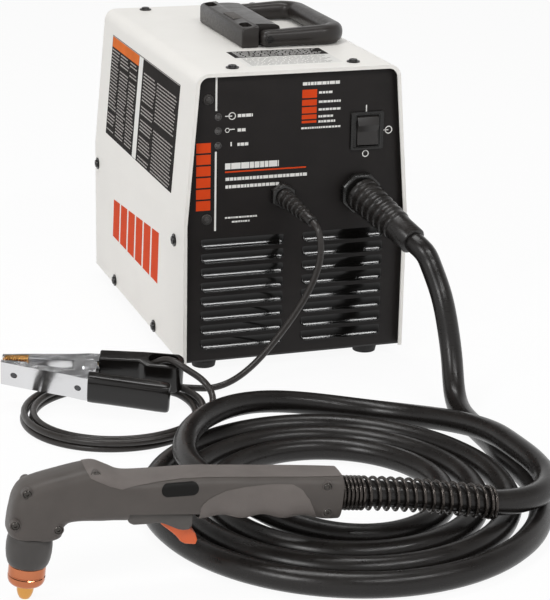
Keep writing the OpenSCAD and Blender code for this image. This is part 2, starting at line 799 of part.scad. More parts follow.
module mains_gland() {
    nut_r = 12;
    nut_h = 12;
    sleeve_l = sheet + 8;
    lock_h = 4;
    lip = 2;
    color(black) at_case() translate([mains_gland_at[0], rear_y, mains_gland_at[1]])
        rotate([-90, 0, 0]) difference() {
            union() {
                translate([0, 0, -sleeve_l]) cylinder(d = mains_sleeve_d, h = sleeve_l + eps);
                cylinder(r = nut_r, h = nut_h - lip, $fn = 6);
                cylinder(r = nut_r - lip, h = nut_h);
                translate([0, 0, -sheet - lock_h]) cylinder(r = nut_r, h = lock_h, $fn = 6);
            }
            translate([0, 0, -sleeve_l - over])
                cylinder(d = mains_bore_d, h = sleeve_l + nut_h + 2 * over);
        }
}

// ---- inside the case -----------------------------------------------------------

module power_board() {
    post_d = 6;
    margin = 6;
    color(board_green) at_case() translate(board_at) union() {
        cube(board_size);
        for (x = [margin, board_size[0] - margin], y = [margin, board_size[1] - margin])
            translate([x, y, base_t - board_at[2]]) cylinder(d = post_d, h = board_at[2] - base_t + eps);
    }
}

module capacitors() {
    count = 3;
    step = cap_size[0] + 6;
    color(black) at_case() translate(board_at + [cap_size[0] / 2 + 2, 30, board_size[2]])
        for (i = [0 : count - 1]) translate([0, i * step, 0])
            cylinder(d = cap_size[0], h = cap_size[1]);
}

module heat_sink() {
    base_h = 5;
    fins = 6;
    fin_t = 2;
    step = (sink_size[0] - fin_t) / (fins - 1);
    color(steel) at_case()
        translate(board_at + [board_size[0] - sink_size[0] - 4, 24, board_size[2]]) union() {
            cube([sink_size[0], sink_size[1], base_h]);
            for (i = [0 : fins - 1]) translate([i * step, 0, 0])
                cube([fin_t, sink_size[1], sink_size[2]]);
        }
}

// Front left corner of the transformer's core on the base pan
core_at = [24, 60];
module transformer_core() {
    window = [(core_size[0] - 3 * core_leg) / 2, core_size[2] - 2 * core_leg];
    color(steel) at_case() translate([core_at[0], core_at[1], base_t]) difference() {
        cube(core_size);
        for (x = [core_leg, 2 * core_leg + window[0]])
            translate([x, -over, core_leg])
                cube([window[0], core_size[1] + 2 * over, window[1]]);
    }
}

module transformer_winding() {
    gap = 0.3;
    window = [(core_size[0] - 3 * core_leg) / 2, core_size[2] - 2 * core_leg];
    wall = window[0] - 2 * gap;
    inner = [core_leg + 2 * gap, core_size[1] + 2 * gap];
    color(winding_red)
        at_case() translate([core_at[0] + core_size[0] / 2, core_at[1] + core_size[1] / 2,
            base_t + core_leg + gap])
            linear_extrude(window[1] - 2 * gap) difference() {
                rounded([inner[0] + 2 * wall, inner[1] + 2 * wall], 4);
                square(inner, center = true);
            }
}

fan_back = case_d - panel_recess - sheet;
fan_bore = fan_w - 4;
hub_r = 15;
module at_fan() {
    at_case() translate([fan_at[0], fan_back, fan_at[1]]) rotate([90, 0, 0]) children();
}

module fan_frame() {
    strut = 4;
    disc_h = 4;
    color(black) at_fan() union() {
        linear_extrude(fan_t) difference() {
            rounded([fan_w, fan_w], 5);
            circle(d = fan_bore);
        }
        cylinder(r = hub_r, h = disc_h);
        cylinder(d = fan_shaft_d, h = fan_t - 2);
        for (a = [0, 90]) rotate([0, 0, a + 45]) translate([-fan_bore / 2 - 1, -strut / 2, 0])
            cube([fan_bore + 2, strut, disc_h - 1]);
    }
}

module fan_rotor() {
    blades = 7;
    gap = 0.5;
    disc_h = 4;
    hub_h = fan_t - disc_h - 2 * gap - 1;
    reach = fan_bore / 2 - 2;
    pitch = 38;
    color(black) at_fan() translate([0, 0, disc_h + gap]) difference() {
        union() {
            cylinder(r = hub_r, h = hub_h);
            for (i = [0 : blades - 1]) rotate([0, 0, i * 360 / blades])
                intersection() {
                    translate([hub_r - 3, 0, hub_h / 2]) rotate([pitch, 0, 0])
                        translate([0, -hub_h * 0.7, -0.75]) cube([reach, hub_h * 1.4, 1.5]);
                    cylinder(r = reach, h = hub_h);
                }
        }
        translate([0, 0, -over]) cylinder(d = fan_shaft_d + 2 * run_gap, h = hub_h + 2 * over);
    }
}

module at_motor() {
    at_case() translate(motor_at) children();
}
shaft_out = 20;
crank_y = -12;
crank_h = 6;
module compressor_motor() {
    cradle_w = 30;
    color(black) at_motor() union() {
        rod_y(motor_size[0], 0, motor_size[1]);
        rod_y(shaft_d, -shaft_out, eps);
        translate([-cradle_w / 2, 10, base_t - motor_at[2]])
            cube([cradle_w, motor_size[1] - 20, motor_at[2] - base_t - motor_size[0] / 2 + 4]);
    }
}

module compressor_crank() {
    crank_d = 26;
    pin_d = 5;
    color(steel) at_motor() difference() {
        union() {
            rod_y(crank_d, crank_y, crank_y + crank_h);
            translate([0, 0, crank_d / 2 - pin_d]) rod_y(pin_d, crank_y - 4, crank_y + eps);
        }
        rod_y(shaft_d + 2 * run_gap, crank_y - over, crank_y + crank_h + over);
    }
}

crank_box = [44, 28, 44];
cylinder_d = 26;
cylinder_h = 42;
module compressor_cylinder() {
    wall = 4;
    fins = 7;
    fin_d = cylinder_d + 12;
    fin_step = 5;
    foot_l = motor_at[2] - base_t - crank_box[2] / 2;
    color(zinc) at_motor() difference() {
        union() {
            translate([-crank_box[0] / 2, -crank_box[1] - fit_gap, -crank_box[2] / 2 - foot_l])
                cube(crank_box + [0, 0, foot_l]);
            translate([0, -crank_box[1] / 2, 0]) {
                cylinder(d = cylinder_d, h = crank_box[2] / 2 + cylinder_h);
                for (i = [1 : fins]) translate([0, 0, crank_box[2] / 2 + i * fin_step])
                    cylinder(d = fin_d, h = 2);
            }
        }
        translate([-crank_box[0] / 2 + wall, wall - crank_box[1], -crank_box[2] / 2 + wall])
            cube(crank_box - [2 * wall, 0, 2 * wall] + [0, -wall + over, 0]);
    }
}

// Block that feeds air and current to the torch, on the gland's inner end
valve_size = [30, 26, 30];
valve_y = panel_y + panel_t + 8 + fit_gap;
module air_valve() {
    color(brass) at_case() translate([torch_gland_at[0] - valve_size[0] / 2, valve_y,
        torch_gland_at[1] - valve_size[2] / 2]) cube(valve_size);
}

// Tube from the compressor's head to the valve block, as straight runs and round bends
module air_tube() {
    head_top = motor_at + [0, -crank_box[1] / 2, crank_box[2] / 2 + cylinder_h + fit_gap];
    rise = torch_gland_at[1] - head_top[2];
    back = head_top[1] - valve_y - valve_size[1] - fit_gap;
    side = torch_gland_at[0] - head_top[0];
    d = air_tube_d;
    color(black) at_case() translate(head_top) union() {
        cylinder(d = d, h = rise);
        translate([0, 0, rise]) sphere(d = d);
        translate([0, 0, rise]) rotate([0, 90, 0]) cylinder(d = d, h = side);
        translate([side, 0, rise]) {
            sphere(d = d);
            rod_y(d, -back, 0);
        }
    }
}

// ---- torch ---------------------------------------------------------------------

tip_lift = 0.3;
module at_torch() {
    translate([case_x + torch_at[0], case_y + torch_at[1], tip_lift])
        rotate([0, torch_turn[0], torch_turn[1]]) children();
}

// Stations along the handle, from the collar to the cable end: the outer edge, the inner
// edge and the half width at each, with the head's axis at x = 0 and the tip at z = 0
torch_end_x = 207;
stations = [[-13.5, 46.5, 15.5, 45.5, -2.5], [-16, 49, 19.5, 48, -0.5],
    [-16, 57, 20, 53, 0], [-15.3, 64, 22, 56, 0], [-13.8, 73, 25, 57.5, 0],
    [-9.5, 80.5, 31, 58, 0], [-1, 84.8, 38, 58, 0], [12, 89, 45, 57.8, 0],
    [26, 93, 52, 58, 0], [37, 94.9, 60, 58, 0], [47, 91.5, 66, 58.3, 0],
    [57, 88, 75, 58.6, 0], [76, 88.6, 86, 59, 0], [95, 90.2, 100, 59.2, 0],
    [110, 90.9, 112, 60, 0], [125, 91, 125, 61.6, -0.3], [139, 91, 139, 60, 0],
    [153, 91, 153, 61.8, -0.3], [167, 91, 167, 59.8, 0], [181, 91, 181, 61, 0],
    [195, 90.8, 195, 59, 0], [torch_end_x, 90.7, torch_end_x, 59, -0.7]];
cable_axis_z = 74.4;
trigger_slot_x = [61, 110];
trigger_slot_z = 65.5;
trigger_room_z = 72;
trigger_pivot = [66, 68.6];
lock_pivot = [87, 56.2];
head_bore_top = 72;
// Places of the screws through the handle, along it and up it
torch_screw_at = [[-5, 77], [37, 89.5], [16.6, 55], [-12.8, 57.5], [196, 86], [198, 63.4]];
screw_seat_y = 12.4;

// One half of the handle, on the -Y side of the split
module torch_half() {
    steps = 8;
    round_power = 0.55;
    rings = [for (s = stations) let (out = [s[0], 0, s[1]], inn = [s[2], 0, s[3]],
        c = (out + inn) / 2, h = (out - inn) / 2, w = torch_half_w + s[4])
        [for (k = [0 : steps]) let (a = -90 + 180 * k / steps, q = sin(a))
            c + h * sign(q) * pow(abs(q), round_power)
                - [0, w * (k == 0 || k == steps ? 0 : pow(cos(a), round_power)), 0]]];
    difference() {
        skin(rings);
        translate([0, 0, -over]) cylinder(r = cup_r + 0.4, h = cup_z[1] + 0.5 + over);
        cylinder(r = torch_head_r + run_gap, h = head_bore_top);
        translate([trigger_slot_x[0], -2 * torch_half_w, 0])
            cube([trigger_slot_x[1] - trigger_slot_x[0], 4 * torch_half_w, trigger_slot_z]);
        translate([trigger_slot_x[0], -trigger_w / 2 - 0.5, 0])
            cube([trigger_slot_x[1] - trigger_slot_x[0], trigger_w + 1, trigger_room_z]);
        translate([micro_at[0] - run_gap, -micro_size[1] / 2 - run_gap, trigger_room_z - over])
            cube([micro_size[0] + 2 * run_gap, micro_size[1] + 2 * run_gap,
                micro_size[2] + over + run_gap]);
        translate([trigger_pivot[0], 0, trigger_pivot[1]])
            rod_y(trigger_pin_d + 2 * run_gap, -trigger_pin_l / 2 - run_gap, over);
        translate([torch_end_x - cable_grip, 0, cable_axis_z]) rotate([0, 90, 0])
            cylinder(d = torch_cable_d + 2 * run_gap, h = cable_grip + over);
        for (p = torch_screw_at) translate([p[0], 0, p[1]]) {
            rod_y(torch_screw_d + 2 * run_gap, -2 * torch_half_w, torch_half_w);
            rod_y(torch_head_d + 0.6, -2 * torch_half_w, -screw_seat_y);
        }
    }
}
torch_head_r = 11;
micro_at = [88, 72];
micro_size = [16, 6.4, 7];
trigger_pin_l = 31;
cable_grip = 14;

// A closed solid through rings of points, as triangles
module skin(rings) {
    n = len(rings);
    m = len(rings[0]);
    walls = [for (i = [0 : n - 2], k = [0 : m - 1])
        let (a = i * m + k, b = i * m + (k + 1) % m)
            for (t = [[a, b, a + m], [b, b + m, a + m]]) t];
    caps = [for (k = [1 : m - 2])
        for (t = [[0, k + 1, k], [(n - 1) * m, (n - 1) * m + k, (n - 1) * m + k + 1]]) t];
    polyhedron([for (r = rings, p = r) p], concat(walls, caps));
}

module torch_handle_left() {
    color(torch_grey) at_torch() torch_half();
}
module torch_handle_right() {
    color(torch_grey) at_torch() mirror([0, 1, 0]) torch_half();
}

module torch_screws() {
    color(steel) at_torch() for (p = torch_screw_at) translate([p[0], 0, p[1]]) {
        for (s = [-1, 1]) translate([0, s * screw_seat_y, 0]) rotate([s * -90, 0, 0])
            screw(torch_head_d, torch_screw_d, screw_seat_y / 2, 1.4, 0.5);
        rod_y(torch_screw_d, -screw_seat_y / 2 - eps, screw_seat_y / 2 + eps);
    }
}

socket_d = 8;
socket_z = 47;
module torch_head() {
    head_low = 38;
    color(brass) at_torch() rotate_extrude() polygon([[socket_d / 2 + run_gap, head_low],
        [torch_head_r, head_low], [torch_head_r, head_bore_top], [0, head_bore_top],
        [0, socket_z], [socket_d / 2 + run_gap, socket_z]]);
}

flange_r = 8.5;
flange_z = [15, 18];
tip_bore_r = 3.6;
module retaining_cup() {
    thread_low = 37.5;
    band = 2;
    color(black) at_torch() rotate_extrude() polygon([[flange_r + 0.3, cup_z[0]],
        [cup_low_r, cup_z[0]], [cup_r - 0.8, cup_z[1] - 12], [cup_r - 0.5, cup_z[1] - 5],
        [cup_r, cup_z[1] - 5 + 0.5], [cup_r, cup_z[1] - band],
        [cup_r - 0.6, cup_z[1]], [torch_head_r + run_gap, cup_z[1]],
        [torch_head_r + run_gap, thread_low], [flange_r + 0.3, thread_low]]);
}

module cup_shield() {
    low_r = cup_low_r - 2.5;
    ring = cup_z[0] - 6.5;
    color(copper) at_torch() rotate_extrude() polygon([[tip_r + 0.4, shield_z],
        [low_r, shield_z], [cup_low_r - 0.5, shield_z + 5.5], [cup_low_r - 0.5, ring],
        [cup_low_r, ring + 0.5], [cup_low_r, cup_z[0]], [flange_r + 0.2, cup_z[0]],
        [flange_r + 0.2, flange_z[0] - 0.1], [tip_r + 0.4, flange_z[0] - 0.1]]);
}

module cutting_tip() {
    mouth_r = 2.2;
    taper = 3.5;
    hole_r = 0.6;
    floor_z = 3.5;
    color(copper) at_torch() rotate_extrude() polygon([[hole_r, 0], [mouth_r, 0],
        [tip_r - 0.8, taper], [tip_r, 2 * taper], [tip_r, flange_z[0]], [flange_r, flange_z[0]],
        [flange_r, flange_z[1]], [tip_bore_r, flange_z[1]], [tip_bore_r, floor_z],
        [hole_r, floor_z - 0.8]]);
}

module electrode() {
    low = 5;
    step = 30;
    color(copper) at_torch() union() {
        translate([0, 0, low]) cylinder(r = tip_bore_r - 0.8, h = step - low + eps);
        translate([0, 0, step]) cylinder(d = socket_d, h = socket_z - step - run_gap);
    }
}

module trigger() {
    slot_gap = 0.3;
    p = trigger_pivot;
    color(trigger_grey) at_torch() difference() {
        translate([0, trigger_w / 2, 0]) rotate([90, 0, 0]) linear_extrude(trigger_w)
            polygon([[p[0] - 3.6, p[1] + 2.6], [p[0] - 3.8, p[1] - 10.6], [p[0] - 1, p[1] - 12.2],
                [p[0] + 8.5, p[1] - 11.8], [p[0] + 18, p[1] - 11.2], [p[0] + 28, p[1] - 14.1],
                [p[0] + 37, p[1] - 17.2], [p[0] + 40, p[1] - 17.4], [p[0] + 41.3, p[1] - 12.6],
                [p[0] + 41.3, p[1] - 4.3], [p[0] + 6, p[1] - 3.8], [p[0] + 3.5, p[1] + 2.6]]);
        translate([p[0], 0, p[1]]) rod_y(trigger_pin_d + 2 * run_gap, -trigger_w, trigger_w);
        translate([lock_pivot[0] - lock_room, -lock_w / 2 - slot_gap, 0])
            cube([trigger_w + lock_room, lock_w + 2 * slot_gap, lock_pivot[1] + lock_room]);
        translate([lock_pivot[0], 0, lock_pivot[1]])
            rod_y(lock_pin_d + 2 * run_gap, -lock_axle / 2 - run_gap, lock_axle / 2 + run_gap);
    }
}
lock_room = 2.6;
lock_pin_d = 2;
lock_axle = lock_w + 5;

module trigger_lock() {
    p = lock_pivot;
    color(orange) at_torch() union() {
        translate([0, lock_w / 2, 0]) rotate([90, 0, 0]) linear_extrude(lock_w) {
            translate(p) circle(2);
            polygon([[p[0] - 1, p[1] - 1.7], [p[0] + 1, p[1] + 1.7], [p[0] + 12, p[1] - 2],
                [p[0] + 20, p[1] - 4], [p[0] + 22.3, p[1] - 9.5], [p[0] + 22.8, p[1] - 13],
                [p[0] + 17, p[1] - 12.6], [p[0] + 12, p[1] - 10], [p[0] + 8, p[1] - 5.5]]);
        }
        translate([p[0], 0, p[1]]) rod_y(lock_pin_d, -lock_axle / 2, lock_axle / 2);
    }
}

module trigger_pin() {
    color(steel) at_torch() translate([trigger_pivot[0], 0, trigger_pivot[1]])
        rod_y(trigger_pin_d, -trigger_pin_l / 2, trigger_pin_l / 2);
}

module trigger_switch() {
    plunger = [3, 3, 3];
    color(black) at_torch() translate([micro_at[0], -micro_size[1] / 2, micro_at[1]]) union() {
        cube(micro_size);
        translate([(micro_size[0] - plunger[0]) / 2, (micro_size[1] - plunger[1]) / 2,
            -plunger[2]]) cube(plunger + [0, 0, eps]);
    }
}

// Line of the cable inside the spring, in the torch's frame, drooping toward its end
spring_droop = 7.7;
function spring_line(x) = [torch_end_x + x, 0, cable_axis_z - spring_droop * pow(x / spring_l, 2)];

module torch_cable_spring() {
    rings = 8;
    close = spring_wire + 0.5;
    curls = spring_curls[0] + spring_curls[1] + spring_curls[2];
    wide = (spring_l - spring_wire - close * (spring_curls[0] + spring_curls[2]))
        / spring_curls[1];
    a = spring_curls[0];
    b = a + spring_curls[1];
    r = (spring_d - spring_wire) / 2;
    path = [for (i = [0 : curls * rings]) let (t = i / rings, turn = 360 * t,
        x = spring_wire / 2 + close * min(t, a) + wide * max(min(t, b) - a, 0)
            + close * max(t - b, 0))
        spring_line(x) + r * [0, cos(turn), sin(turn)]];
    echo("torch cable spring, least gap to itself", least_gap(path, rings / 2, spring_wire));
    color(black) at_torch() tube(path, spring_wire, 6, [1, 0, 0]);
}

// ---- work clamp ----------------------------------------------------------------

module at_clamp() {
    translate([case_x, case_y, 0] + clamp_at) rotate(clamp_turn) children();
}

// Extrudes an outline in the clamp's plane, half of it either side of the middle
module across(width) {
    translate([0, 0, -width / 2]) linear_extrude(width) children();
}

// Outer edge of a clamp half, from the jaw's tip to the handle, and where the steel ends
jaw_x = -68;
pad_x = [-66, -47];
near_tang_x = 66;
far_tang_x = 47;
outer_slope = 4.9 / 66;
outer_edge = [[jaw_x, 6], [pad_x[1], 9.5], [-12, 14.5], [0, 17]];
function tang_outer(x) = 17 + outer_slope * x;
function tang_inner(x) = 8 + 4.6 / 66 * x;
function jaw_outer(x) = lookup(x, outer_edge);

// Outline of a half on the +Y side
module clamp_outline(tang_x) {
    jaw_in = 3;
    polygon(concat(outer_edge, [[tang_x, tang_outer(tang_x)], [tang_x, tang_inner(tang_x)],
        [6, tang_inner(6)], [-7, 6.2], [-14, 6.4], [pad_x[1] + 1, 5],
        [pad_x[1], jaw_in], [jaw_x, jaw_in]]));
}

// A pressed half on the +Y side: two plates joined by a web along the outer edge
module clamp_half(tang_x, width) {
    rivet_x = [-57, -4];
    rivet_d = 5.6;
    difference() {
        union() {
            across(width) clamp_outline(tang_x);
            cylinder(r = ear_r, h = width, center = true);
        }
        across(width - 2 * clamp_t) polygon(concat([[2 * jaw_x, -2 * ear_r],
            [2 * jaw_x, jaw_outer(jaw_x) - clamp_t]],
            [for (p = outer_edge) p - [0, clamp_t]],
            [[2 * near_tang_x, tang_outer(2 * near_tang_x) - clamp_t],
                [2 * near_tang_x, -2 * ear_r]]));
        cylinder(d = clamp_pin_d + 2 * run_gap, h = 2 * width, center = true);
        for (x = rivet_x) translate([x, 0, 0])
            rod_y(rivet_d, ear_r / 2, 2 * ear_r);
    }
}
far_w = clamp_w - 2 * clamp_t - 0.6;

module clamp_near_half() {
    color(zinc) at_clamp() mirror([0, 1, 0]) clamp_half(near_tang_x, clamp_w);
}
module clamp_far_half() {
    color(zinc) at_clamp() clamp_half(far_tang_x, far_w);
}

grip_start = 4;
// Outline of the hollow in a sleeve on the +Y side: it is open toward the other half
module tang_room(tang_x) {
    polygon([[-over, tang_outer(-over) + fit_gap], [tang_x + fit_gap, tang_outer(tang_x) + fit_gap],
        [tang_x + fit_gap, -2 * ear_r], [-over, -2 * ear_r]]);
}

module clamp_near_grip() {
    end_x = near_tang_x + 5;
    out = sleeve_t + fit_gap;
    in = 1.2 + fit_gap;
    corner = 2;
    color(black) at_clamp() mirror([0, 1, 0]) difference() {
        across(clamp_w + 2 * out) polygon([[grip_start, tang_outer(grip_start) + out - corner],
            [grip_start + 1, tang_outer(grip_start) + out], [end_x - 3, tang_outer(end_x) + out],
            [end_x, tang_outer(end_x) - 1], [end_x, tang_inner(end_x) + 1],
            [end_x - 3, tang_inner(end_x) - in], [grip_start, tang_inner(grip_start) - in]]);
        across(clamp_w + 2 * fit_gap) tang_room(near_tang_x);
    }
}

// Middle and half lengths of the far sleeve's finger hole
finger_hole = [62.5, 14.2];
finger_size = [25, 13];
// Height of the work lead's hole into the far sleeve, and how much wider it is
lead_hole_z = 5.6;
lead_hole_room = 3;
module clamp_far_grip() {
    end_x = 79;
    out = sleeve_t + fit_gap;
    in = 1.2 + fit_gap;
    top = tang_outer(far_tang_x) + out;
    low = 4.2;
    half = (finger_size[0] - finger_size[1]) / 2;
    color(black) at_clamp() difference() {
        across(clamp_w + 2 * out) polygon([[grip_start + 6, tang_outer(grip_start + 6) + out],
            [far_tang_x, top], [end_x - 5, top + 0.6], [end_x - 1, top - 2.5], [end_x, top - 6],
            [end_x, low + 6], [end_x - 2, low + 2], [end_x - 6, low], [far_tang_x + 4, low],
            [far_tang_x, low + 1.4], [far_tang_x - 4, tang_inner(far_tang_x - 4) - in],
            [grip_start + 6, tang_inner(grip_start + 6) - in]]);
        across(far_w + 2 * fit_gap) tang_room(far_tang_x);
        translate([far_tang_x - over, finger_hole[1], lead_hole_z]) rotate([0, 90, 0])
            cylinder(d = work_cable_d + lead_hole_room, h = lead_hole_room + 2 * over);
        across(2 * clamp_w) {
            for (s = [-1, 1]) translate([finger_hole[0] + s * half, finger_hole[1]])
                circle(d = finger_size[1]);
            translate(finger_hole) square([2 * half, finger_size[1]], center = true);
        }
    }
}

module clamp_pivot() {
    head_d = 8;
    head_h = 1.4;
    half = clamp_w / 2 + run_gap;
    color(steel) at_clamp() union() {
        cylinder(d = clamp_pin_d, h = 2 * half, center = true);
        for (s = [-1, 1]) translate([0, 0, s * (half + head_h / 2)])
            cylinder(d = head_d, h = head_h, center = true);
    }
}

// Slant of the spring's legs, their length, and the turn where they leave the curls
leg_slant = 15.5;
leg_l = 46;
spring_reach = (clamp_spring_d - clamp_wire) / 2;
curl_step = clamp_wire + 0.5;
curl_start = 90 + leg_slant;
curl_turns = clamp_curls - 2 * curl_start / 360;
function curl_point(a, z) = [spring_reach * cos(a), spring_reach * sin(a), z];
module clamp_spring() {
    steps = ceil(curl_turns * 8);
    z0 = -curl_turns * curl_step / 2;
    leave = curl_point(curl_start, z0);
    leg = [cos(leg_slant), sin(leg_slant), 0];
    path = concat([leave + leg_l * leg, leave + leg_l / 2 * leg, leave + clamp_wire * leg],
        [for (i = [0 : steps]) curl_point(curl_start + 360 * curl_turns * i / steps,
            z0 + curl_turns * curl_step * i / steps)]);
    echo("clamp spring, least gap to itself", least_gap(path, 6, clamp_wire));
    color(steel) at_clamp() tube(path, clamp_wire, 6);
}

module clamp_spring_leg() {
    leave = curl_point(-curl_start, curl_turns * curl_step / 2);
    leg = [cos(leg_slant), -sin(leg_slant), 0];
    color(steel) at_clamp() tube([leave + 0.3 * leg, leave + leg_l / 2 * leg, leave + leg_l * leg],
        clamp_wire, 6);
}

// A serrated copper pad on the +Y side
module clamp_pad(width) {
    teeth = 6;
    tooth_h = 1.5;
    flat = 0.1;
    step = (pad_x[1] - pad_x[0]) / teeth;
    seat = clamp_t + 0.1;
    across(width) polygon(concat([for (i = [0 : teeth - 1]) for (q = [[0, tooth_h],
        [step / 2 - flat, flat], [step / 2 + flat, flat]]) [pad_x[0] + i * step + q[0], q[1]]],
        [[pad_x[1], tooth_h], [pad_x[1], jaw_outer(pad_x[1]) - seat],
            [pad_x[0], jaw_outer(pad_x[0]) - seat]]));
}
module clamp_teeth_near() {
    color(copper) at_clamp() mirror([0, 1, 0]) clamp_pad(clamp_w - 2 * clamp_t - 0.4);
}
module clamp_teeth_far() {
    color(copper) at_clamp() clamp_pad(far_w - 2 * clamp_t - 0.4);
}

// Lug at the lead's end, riveted inside the far half's web
lug_x = 12;
lug_z = 4;
lug_barrel_l = 9;
lug_barrel_d = work_cable_d + 1.5;
lug_y = tang_outer(lug_x) - clamp_t - 0.2 - lug_barrel_d / 2;
module cable_lug() {
    tongue = [14, 1.6, 8];
    color(brass) at_clamp() union() {
        translate([lug_x - tongue[0] + 2, lug_y + lug_barrel_d / 2 - tongue[1] - 0.6,
            lug_z - tongue[2] / 2]) cube(tongue);
        translate([lug_x, lug_y, lug_z]) rotate([0, 90, 0])
            cylinder(d = lug_barrel_d, h = lug_barrel_l);
    }
}

// ---- cables --------------------------------------------------------------------

// Rings in each loop of the coils
coil_rings = 24;
function gland_face(at) = [at[0], panel_y - nut_out, at[1] + foot_h];
torch_lead_start = gland_face(torch_gland_at) + torch_boot[2] * unit(boot_way);
work_lead_start = gland_face(work_gland_at) + work_boot[2] * unit(work_boot_way);

// Reach and height of the torch cable's coil after t turns
function torch_loop(t) = t <= coil_flat_turns ? [coil_reach - coil_pitch * t, torch_cable_d / 2]
    : let (s = (t - coil_flat_turns) * 8, i = min(floor(s), len(coil_last_loop) - 2))
        curve_at(coil_last_loop, i, s - i);
function torch_coil_point(t) = let (q = torch_loop(t), a = coil_start - 360 * t)
    [coil_at[0] + coil_squeeze * q[0] * cos(a), coil_at[1] + q[0] * sin(a), q[1]];
function torch_coil_path(rings) = [for (i = [0 : coil_turns * rings]) torch_coil_point(i / rings)];

// Reach and height of the work lead's coil after t turns: in on the ground, out on top
function work_layer(t) = max(0, min(1, (t - work_coil_turns / 2) / 0.5 + 0.5));
function work_coil_point(t) = let (a = work_coil_start + 360 * t,
    in = work_coil_pitch * min(t, work_coil_turns - t))
    [work_coil_at[0] + (work_coil_reach[0] - in) * cos(a),
        work_coil_at[1] + (work_coil_reach[1] - in) * sin(a),
        work_cable_d / 2 + work_coil_lift * work_layer(t)];
function work_coil_path(rings) = [for (i = [0 : work_coil_turns * rings])
    work_coil_point(i / rings)];

torch_lead_path = smooth_route(concat([torch_lead_start,
    torch_lead_start + torch_cable_d * unit(boot_way)], torch_lead_route, [torch_coil_point(0)]), 2);
module torch_cable_lead() {
    color(black) at_ground() tube(torch_lead_path, torch_cable_d, 12,
        ends = [torch_lead_path[1] - unit(boot_way), torch_coil_point(1 / coil_rings)]);
}

module torch_cable_coil() {
    echo("torch cable coil, least gap to itself",
        least_gap(torch_coil_path(4 * coil_rings), coil_rings, torch_cable_d));
    color(black) at_ground() tube(torch_coil_path(coil_rings), torch_cable_d, 6,
        ends = [torch_lead_path[len(torch_lead_path) - 2], torch_tail_path[1]]);
}

module torch_cable_tail() {
    color(black) at_ground() tube(torch_tail_path, torch_cable_d, 12,
        ends = [torch_coil_point(coil_turns - 1 / coil_rings)]);
}
// The cable's stretch inside the spring and into the handle, in the ground's frame
torch_inside = [for (x = [spring_l, 0.8 * spring_l, 0.6 * spring_l, 0.4 * spring_l,
    0.2 * spring_l, 0, -cable_grip])
    [torch_at[0], torch_at[1], tip_lift] + turned(x < 0 ? spring_line(0) + [x, 0, 0]
        : spring_line(x), [0, torch_turn[0], torch_turn[1]])];
torch_tail_path = smooth_route(concat([torch_coil_point(coil_turns)], torch_tail_route,
    torch_inside), 2);

work_lead_path = smooth_route(concat([work_lead_start,
    work_lead_start + work_cable_d * unit(work_boot_way)], work_lead_route, [work_coil_point(0)]), 2);
// The last points run inside the clamp to the lug's mouth
lug_mouth = lug_x + lug_barrel_l;
work_tail_end = concat(work_tail_inside, [[lug_mouth + work_cable_d, lug_y, lug_z],
    [lug_mouth, lug_y, lug_z]]);
work_tail_path = smooth_route(concat([work_coil_point(work_coil_turns)], work_tail_rise,
    [for (v = work_tail_end) clamp_at + turned(v, clamp_turn)]), 2);
module work_cable_lead() {
    color(black) at_ground() tube(work_lead_path, work_cable_d, 8,
        ends = [work_lead_path[1] - unit(work_boot_way), work_coil_point(1 / coil_rings)]);
}

module work_cable_coil() {
    echo("work lead coil, least gap to itself",
        least_gap(work_coil_path(4 * coil_rings), coil_rings, work_cable_d));
    color(black) at_ground() tube(work_coil_path(coil_rings), work_cable_d, 6,
        ends = [work_lead_path[len(work_lead_path) - 2], work_tail_path[1]]);
}

module work_cable_tail() {
    color(black) at_ground() tube(work_tail_path, work_cable_d, 8,
        ends = [work_coil_point(work_coil_turns - 1 / coil_rings)]);
}

wrapper();
front_panel();
rear_panel();
base_pan();
divider();
feet();
case_screws();
front_screws();
indicator_lenses();
handle_base();
handle_loop();
handle_pins();
switch_body();
switch_rocker();
work_gland_nut();
work_strain_relief();
torch_gland_nut();
torch_strain_relief();
mains_gland();
power_board();
capacitors();
heat_sink();
transformer_core();
transformer_winding();
fan_frame();
fan_rotor();
compressor_motor();
compressor_crank();
compressor_cylinder();
air_tube();
air_valve();
torch_handle_left();
torch_handle_right();
torch_screws();
torch_head();
retaining_cup();
cup_shield();
cutting_tip();
electrode();
trigger();
trigger_lock();
trigger_pin();
trigger_switch();
torch_cable_spring();
clamp_near_half();
clamp_far_half();
clamp_near_grip();
clamp_far_grip();
clamp_pivot();
clamp_spring();
clamp_spring_leg();
clamp_teeth_near();
clamp_teeth_far();
cable_lug();
torch_cable_lead();
torch_cable_coil();
torch_cable_tail();
work_cable_lead();
work_cable_coil();
work_cable_tail();
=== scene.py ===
# %% [markdown]
# # A plasma cutting unit, dressed piece by piece
# The solids of the unit come ready made: a steel case, a hand torch, a work clamp and
# two cables. This lesson gives each of them its finish, and rebuilds the pieces whose
# soft or rounded shape matters to the eye. The solids never move, because other tools
# rely on their places.
#
# Every measure is written in millimetres, as on a workshop drawing, and one matrix per
# part of the unit takes it to Blender's metres.

import json
import math
import random

import bmesh
import bpy
import numpy as np
from mathutils import Matrix, Vector
from mathutils.bvhtree import BVHTree


